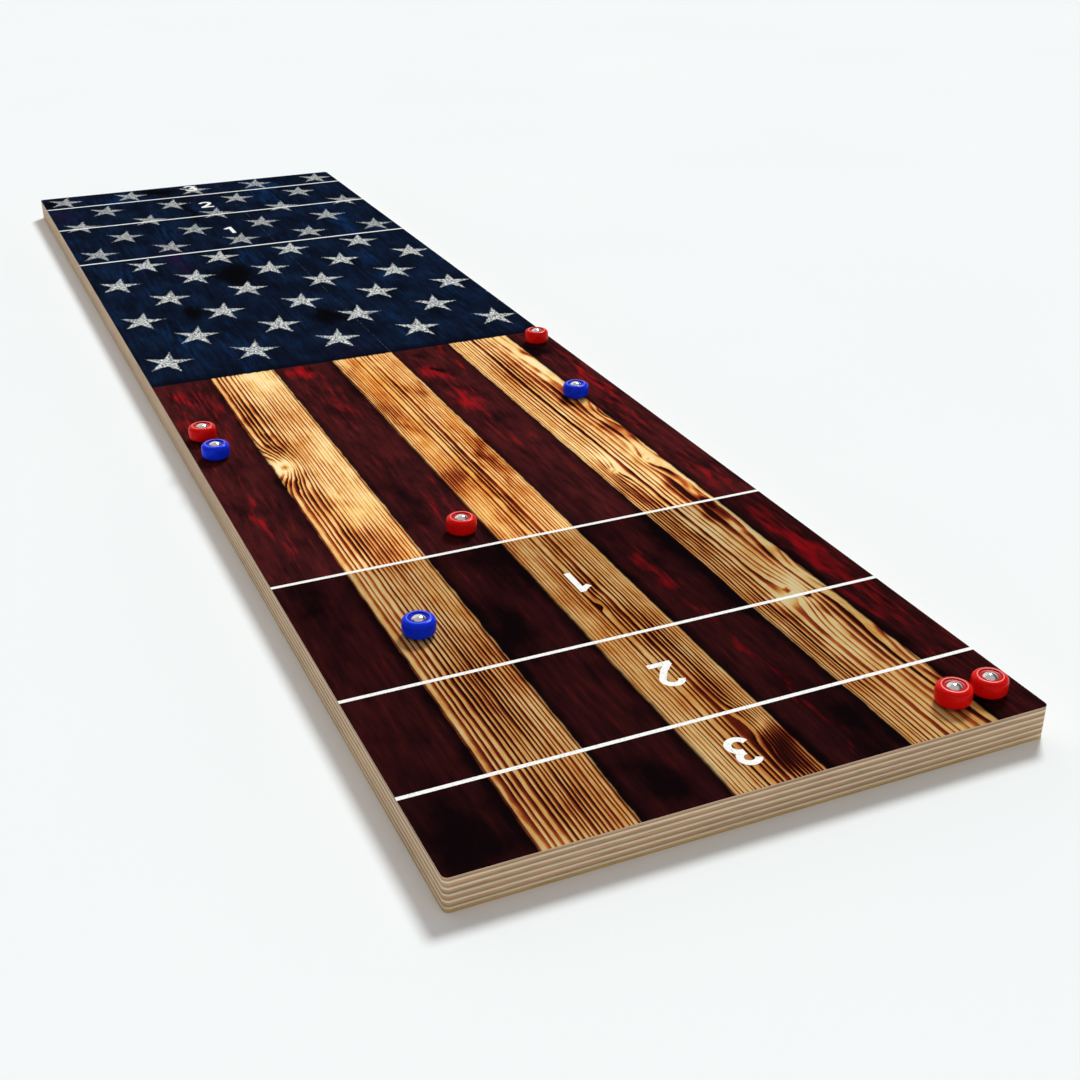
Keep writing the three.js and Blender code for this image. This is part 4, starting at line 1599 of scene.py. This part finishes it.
def steelMaterial():
    material, nodes, links = newMaterial("polishedSteel")

    output = nodes.new("ShaderNodeOutputMaterial")
    output.label = "bearing ball"
    surface = nodes.new("ShaderNodeBsdfPrincipled")
    surface.label = "polished steel"
    coordinates = nodes.new("ShaderNodeTexCoord")
    coordinates.label = "place on the ball"
    haze = nodes.new("ShaderNodeTexNoise")
    haze.label = "handling haze"
    roughness = nodes.new("ShaderNodeMapRange")
    roughness.label = "mirror to slight haze"
    tarnish = nodes.new("ShaderNodeMix")
    tarnish.label = "faint tarnish"
    scratchStretch = nodes.new("ShaderNodeVectorMath")
    scratchStretch.label = "fine rolling scratches"
    scratch = nodes.new("ShaderNodeTexNoise")
    scratch.label = "scratches"
    relief = nodes.new("ShaderNodeBump")
    relief.label = "scratch relief"

    groups = {
        "Haze": [coordinates, haze, roughness, tarnish],
        "Scratches": [scratchStretch, scratch, relief],
        "Surface": [surface, output],
    }
    layOut(nodes, groups)

    haze.inputs["Scale"].default_value = 260.0
    haze.inputs["Detail"].default_value = 3.0
    roughness.inputs["To Min"].default_value = 0.03
    roughness.inputs["To Max"].default_value = 0.09
    tarnish.data_type = "RGBA"
    tarnish.inputs[6].default_value = (0.83, 0.84, 0.85, 1.0)
    tarnish.inputs[7].default_value = (0.68, 0.68, 0.67, 1.0)
    scratchStretch.operation = "MULTIPLY"
    scratchStretch.inputs[1].default_value = (2600.0, 240.0, 240.0)
    scratch.inputs["Scale"].default_value = 1.0
    scratch.inputs["Detail"].default_value = 2.0
    relief.inputs["Strength"].default_value = 0.04
    relief.inputs["Distance"].default_value = mm(0.02)
    surface.inputs["Metallic"].default_value = 1.0

    links.new(coordinates.outputs["Object"], haze.inputs["Vector"])
    links.new(haze.outputs[0], roughness.inputs["Value"])
    links.new(roughness.outputs["Result"], surface.inputs["Roughness"])
    links.new(haze.outputs[0], tarnish.inputs[0])
    links.new(tarnish.outputs[2], surface.inputs["Base Color"])
    links.new(coordinates.outputs["Object"], scratchStretch.inputs[0])
    links.new(scratchStretch.outputs[0], scratch.inputs["Vector"])
    links.new(scratch.outputs[0], relief.inputs["Height"])
    links.new(relief.outputs[0], surface.inputs["Normal"])
    links.new(surface.outputs[0], output.inputs["Surface"])
    return material


def arcPoints(centreRadius, centreHeight, radius, start, end, steps):
    points = []
    for step in range(steps + 1):
        angle = start + (end - start) * step / steps
        points.append((centreRadius + radius * math.cos(angle), centreHeight + radius * math.sin(angle)))
    return points


def dishPoints():
    # crest, rounded into the dish, then the dish's floor in to the lip
    floor = puck["halfHeight"] - puck["dishDepth"]
    rounding = puck["rimRounding"]
    turn = math.pi * puck["rimTurn"]
    height = puck["halfHeight"] - rounding
    crest = arcPoints(puck["rimInner"], height, rounding, math.pi / 2, turn, puck["rimSteps"])
    outer = (puck["dishOuter"], floor + puck["dishSlope"])
    foot = (outer[0] + puck["dishFoot"][0], outer[1] + puck["dishFoot"][1])
    middle = (outer[0] - puck["dishFillet"], floor + 0.5 * puck["dishSlope"])
    return crest + [foot, outer, middle, (puck["lipRadius"], floor)]


def ringOutline():
    # the moulded ring, anticlockwise from the counterbore's mouth
    shoulderCentre = puck["radius"] - puck["barrelBulge"] - puck["shoulderRadius"]
    shoulderHeight = puck["halfHeight"] - puck["shoulderRadius"]
    steps = puck["arcSteps"]
    lowerEnd = math.acos((puck["counterbore"] - shoulderCentre) / puck["shoulderRadius"])
    lipAngle = math.asin(puck["lipUnder"][1][1] / puck["socketRadius"])
    outline = [(puck["counterbore"], -puck["skirt"])]
    outline += arcPoints(shoulderCentre, -shoulderHeight, puck["shoulderRadius"], -lowerEnd, 0.0, steps)
    for step in range(1, puck["sideSteps"]):
        height = -shoulderHeight + 2.0 * shoulderHeight * step / puck["sideSteps"]
        share = height / shoulderHeight
        outline.append((puck["radius"] - puck["barrelBulge"] * share * share, height))
    outline += arcPoints(shoulderCentre, shoulderHeight, puck["shoulderRadius"], 0.0, math.pi / 2, steps)
    outline += dishPoints() + [puck["lipUnder"][0]]
    outline += arcPoints(0.0, 0.0, puck["socketRadius"], lipAngle, 0.0, steps)
    outline.append((puck["socketRadius"], -puck["skirt"]))
    return outline


def closureOutline():
    # the ring that closes the counterbore, anticlockwise from its outer bottom edge
    outer = puck["counterbore"] - puck["retainerFit"]
    top = -puck["skirt"] - puck["retainerFit"]
    topAngle = math.asin(-top / puck["socketRadius"])
    lipAngle = math.asin(puck["lipUnder"][1][1] / puck["socketRadius"])
    low = -puck["halfHeight"]
    chamfer = puck["retainerChamfer"]
    outline = [(outer - chamfer, low), (outer, low + chamfer), (outer, top)]
    outline += arcPoints(0.0, 0.0, puck["socketRadius"], -topAngle, -lipAngle, puck["arcSteps"])
    outline += [(radius, -height) for radius, height in reversed(dishPoints() + [puck["lipUnder"][0]])]
    return outline


def turnedMesh(name, outline, sides, centre):
    # closed outline turned about the puck's upright axis; "crest" is 1 on top of each rim, where a painted
    # highlight goes, and -1 in the dish, where painted shade goes
    count = len(outline)
    points = []
    for side in range(sides):
        angle = 2.0 * math.pi * side / sides
        for radius, height in outline:
            x = centre.x + mm(radius) * math.cos(angle)
            points.append((x, centre.y + mm(radius) * math.sin(angle), centre.z + mm(height)))
    faces = []
    for side in range(sides):
        here = side * count
        following = (side + 1) % sides * count
        for step in range(count):
            after = (step + 1) % count
            faces.append((here + step, following + step, following + after, here + after))
    mesh = newMesh(name, points, faces)
    inner, outer = puck["crest"]
    paintedLightMarks = []
    for radius, height in outline:
        if abs(height) > puck["halfHeight"] - puck["crestDepth"]:
            paintedLightMarks.append(1.0 if inner < radius < outer else 0.0)
        else:
            inDish = radius < puck["rimInner"] and abs(height) > puck["dishAbove"]
            paintedLightMarks.append(-1.0 if inDish else 0.0)
    storeValues(mesh, "crest", paintedLightMarks * sides)
    mesh.shade_smooth()
    mesh.set_sharp_from_angle(angle=math.radians(38))
    return mesh


def ballMesh(name, centre):
    # turned about X, the axis it rolls on
    radius = mm(puck["ballRadius"])
    sides = puck["ballSides"]
    steps = puck["ballSteps"]
    points = [(centre.x - radius, centre.y, centre.z)]
    for step in range(1, steps):
        angle = math.pi * step / steps
        for side in range(sides):
            turn = 2.0 * math.pi * side / sides
            y = centre.y + radius * math.sin(angle) * math.cos(turn)
            z = centre.z + radius * math.sin(angle) * math.sin(turn)
            points.append((centre.x - radius * math.cos(angle), y, z))
    points.append((centre.x + radius, centre.y, centre.z))
    last = len(points) - 1
    faces = []
    for side in range(sides):
        after = (side + 1) % sides
        faces.append((0, 1 + after, 1 + side))
        faces.append((last, last - sides + side, last - sides + after))
        for step in range(steps - 2):
            first = 1 + step * sides
            faces.append((first + side, first + after, first + sides + after, first + sides + side))
    mesh = newMesh(name, points, faces)
    mesh.shade_smooth()
    return mesh


plastics = {colour: plasticMaterial(colour + "Plastic", look) for colour, look in puck["colours"].items()}
steel = steelMaterial()
pucks = sorted(body for body in frame["bodies"] if body.startswith("puck_"))
for body in pucks:
    colour = body.split("_")[1]
    ballBody = body.replace("puck", "ball")
    low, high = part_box(body + "_ball")
    centre = (low + high) / 2.0
    ring = turnedMesh(body + "_ring", ringOutline(), puck["sides"], centre)
    addPiece(body + "_ring", ring, plastics[colour], body, [body + "_shell"])
    closure = turnedMesh(body + "_closure", closureOutline(), puck["sides"], centre)
    addPiece(body + "_closure", closure, plastics[colour], body, [body + "_retainer"])
    ball = ballMesh(body + "_steel", centre)
    addPiece(body + "_steel_ball", ball, steel, ballBody, [body + "_ball"])
print("pucks ready:", len(pucks))

# ---- Floor and light ----

studio = {
    "floorSize": 80.0,
    "floorTone": paint(243, 246, 247),
    "floorMottle": paint(240, 243, 245),
    "sunColour": (0.94, 1.0, 0.996),
    "sunStrength": 2.60,
    "sunAngle": 15.0,
    "sunFrom": (0.95, 1.06, 1.46),
    "skyLow": (0.90, 0.948, 0.956, 1.0),
    "skyHigh": (0.545, 0.507, 0.49, 1.0),
    "skySide": (0.13, 0.12, 0.115, 1.0),
    "softLight": (0.95, 0.885, 0.85, 1.0),
}


def floorMaterial():
    material, nodes, links = newMaterial("paleFloor")

    output = nodes.new("ShaderNodeOutputMaterial")
    output.label = "floor"
    surface = nodes.new("ShaderNodeBsdfDiffuse")
    surface.label = "matt paper"
    coordinates = nodes.new("ShaderNodeTexCoord")
    coordinates.label = "place on the floor"
    mottle = nodes.new("ShaderNodeTexNoise")
    mottle.label = "very faint mottling"
    tone = nodes.new("ShaderNodeMix")
    tone.label = "two close tones"
    layOut(nodes, {"Pattern": [coordinates, mottle, tone], "Surface": [surface, output]})

    mottle.inputs["Scale"].default_value = 3.0
    tone.data_type = "RGBA"
    tone.inputs[6].default_value = studio["floorTone"]
    tone.inputs[7].default_value = studio["floorMottle"]

    links.new(coordinates.outputs["Object"], mottle.inputs["Vector"])
    links.new(mottle.outputs[0], tone.inputs[0])
    links.new(tone.outputs[2], surface.inputs["Color"])
    links.new(surface.outputs[0], output.inputs["Surface"])
    return material


half = studio["floorSize"] / 2.0
floorCorners = [(-half, -half, 0.0), (half, -half, 0.0), (half, half, 0.0), (-half, half, 0.0)]
floorMesh = newMesh("floor", floorCorners, [(0, 1, 2, 3)])
floorMesh.materials.append(floorMaterial())
floor = bpy.data.objects.new("floor", floorMesh)
scene.collection.objects.link(floor)

sun = bpy.data.objects.new("sun", bpy.data.lights.new("sun", "SUN"))
scene.collection.objects.link(sun)
sun.rotation_euler = Vector(studio["sunFrom"]).to_track_quat("Z", "Y").to_euler()
sun.data.energy = studio["sunStrength"]
sun.data.color = studio["sunColour"]
sun.data.angle = math.radians(studio["sunAngle"])

world = bpy.data.worlds.new("studio")
scene.world = world
world.use_nodes = True
worldNodes = world.node_tree.nodes
worldLinks = world.node_tree.links
worldNodes.clear()
worldOutput = worldNodes.new("ShaderNodeOutputWorld")
worldOutput.label = "studio"
sky = worldNodes.new("ShaderNodeBackground")
sky.label = "soft surround"
direction = worldNodes.new("ShaderNodeTexCoord")
direction.label = "direction"
directionParts = worldNodes.new("ShaderNodeSeparateXYZ")
directionParts.label = "parts of the direction"
wallBand = worldNodes.new("ShaderNodeValToRGB")
wallBand.label = "wall height"
farShare = worldNodes.new("ShaderNodeMapRange")
farShare.label = "towards the far end"
sideways = worldNodes.new("ShaderNodeMath")
sideways.label = "to either side"
sideShare = worldNodes.new("ShaderNodeMapRange")
sideShare.label = "dark side walls"
farWall = worldNodes.new("ShaderNodeMath")
farWall.label = "soft light at wall height"
sideWall = worldNodes.new("ShaderNodeMath")
sideWall.label = "dark at wall height"
lit = worldNodes.new("ShaderNodeMix")
lit.label = "soft light beyond the far end"
shaded = worldNodes.new("ShaderNodeMix")
shaded.label = "darker sides"
lowShare = worldNodes.new("ShaderNodeMapRange")
lowShare.label = "pale near the floor"
surround = worldNodes.new("ShaderNodeMix")
surround.label = "floor tone low down"
layOut(worldNodes, {
    "Direction": [direction, directionParts, sideways],
    "Walls": [wallBand, farShare, sideShare, farWall, sideWall],
    "Tones": [lowShare, lit, shaded, surround],
    "Studio": [sky, worldOutput],
})
black, white = (0.0, 0.0, 0.0, 1.0), (1.0, 1.0, 1.0, 1.0)
fillRamp(wallBand, [(0.18, black), (0.32, white), (0.68, white), (0.84, black)])
farShare.inputs["From Min"].default_value = 0.3
farShare.inputs["From Max"].default_value = 0.6
sideways.operation = "ABSOLUTE"
sideShare.inputs["From Min"].default_value = 0.3
sideShare.inputs["From Max"].default_value = 0.6
farWall.operation = "MULTIPLY"
sideWall.operation = "MULTIPLY"
lit.data_type = "RGBA"
lit.inputs[6].default_value = studio["skyHigh"]
lit.inputs[7].default_value = studio["softLight"]
shaded.data_type = "RGBA"
shaded.inputs[7].default_value = studio["skySide"]
lowShare.inputs["From Min"].default_value = 0.16
lowShare.inputs["From Max"].default_value = 0.3
surround.data_type = "RGBA"
surround.inputs[6].default_value = studio["skyLow"]
worldLinks.new(direction.outputs["Generated"], directionParts.inputs[0])
worldLinks.new(directionParts.outputs["Z"], wallBand.inputs[0])
worldLinks.new(directionParts.outputs["Y"], farShare.inputs["Value"])
worldLinks.new(directionParts.outputs["X"], sideways.inputs[0])
worldLinks.new(sideways.outputs[0], sideShare.inputs["Value"])
worldLinks.new(farShare.outputs["Result"], farWall.inputs[0])
worldLinks.new(wallBand.outputs[0], farWall.inputs[1])
worldLinks.new(sideShare.outputs["Result"], sideWall.inputs[0])
worldLinks.new(wallBand.outputs[0], sideWall.inputs[1])
worldLinks.new(farWall.outputs[0], lit.inputs[0])
worldLinks.new(sideWall.outputs[0], shaded.inputs[0])
worldLinks.new(lit.outputs[2], shaded.inputs[6])
worldLinks.new(directionParts.outputs["Z"], lowShare.inputs["Value"])
worldLinks.new(lowShare.outputs["Result"], surround.inputs[0])
worldLinks.new(shaded.outputs[2], surround.inputs[7])
worldLinks.new(surround.outputs[2], sky.inputs["Color"])
worldLinks.new(sky.outputs[0], worldOutput.inputs["Surface"])
print("studio ready")
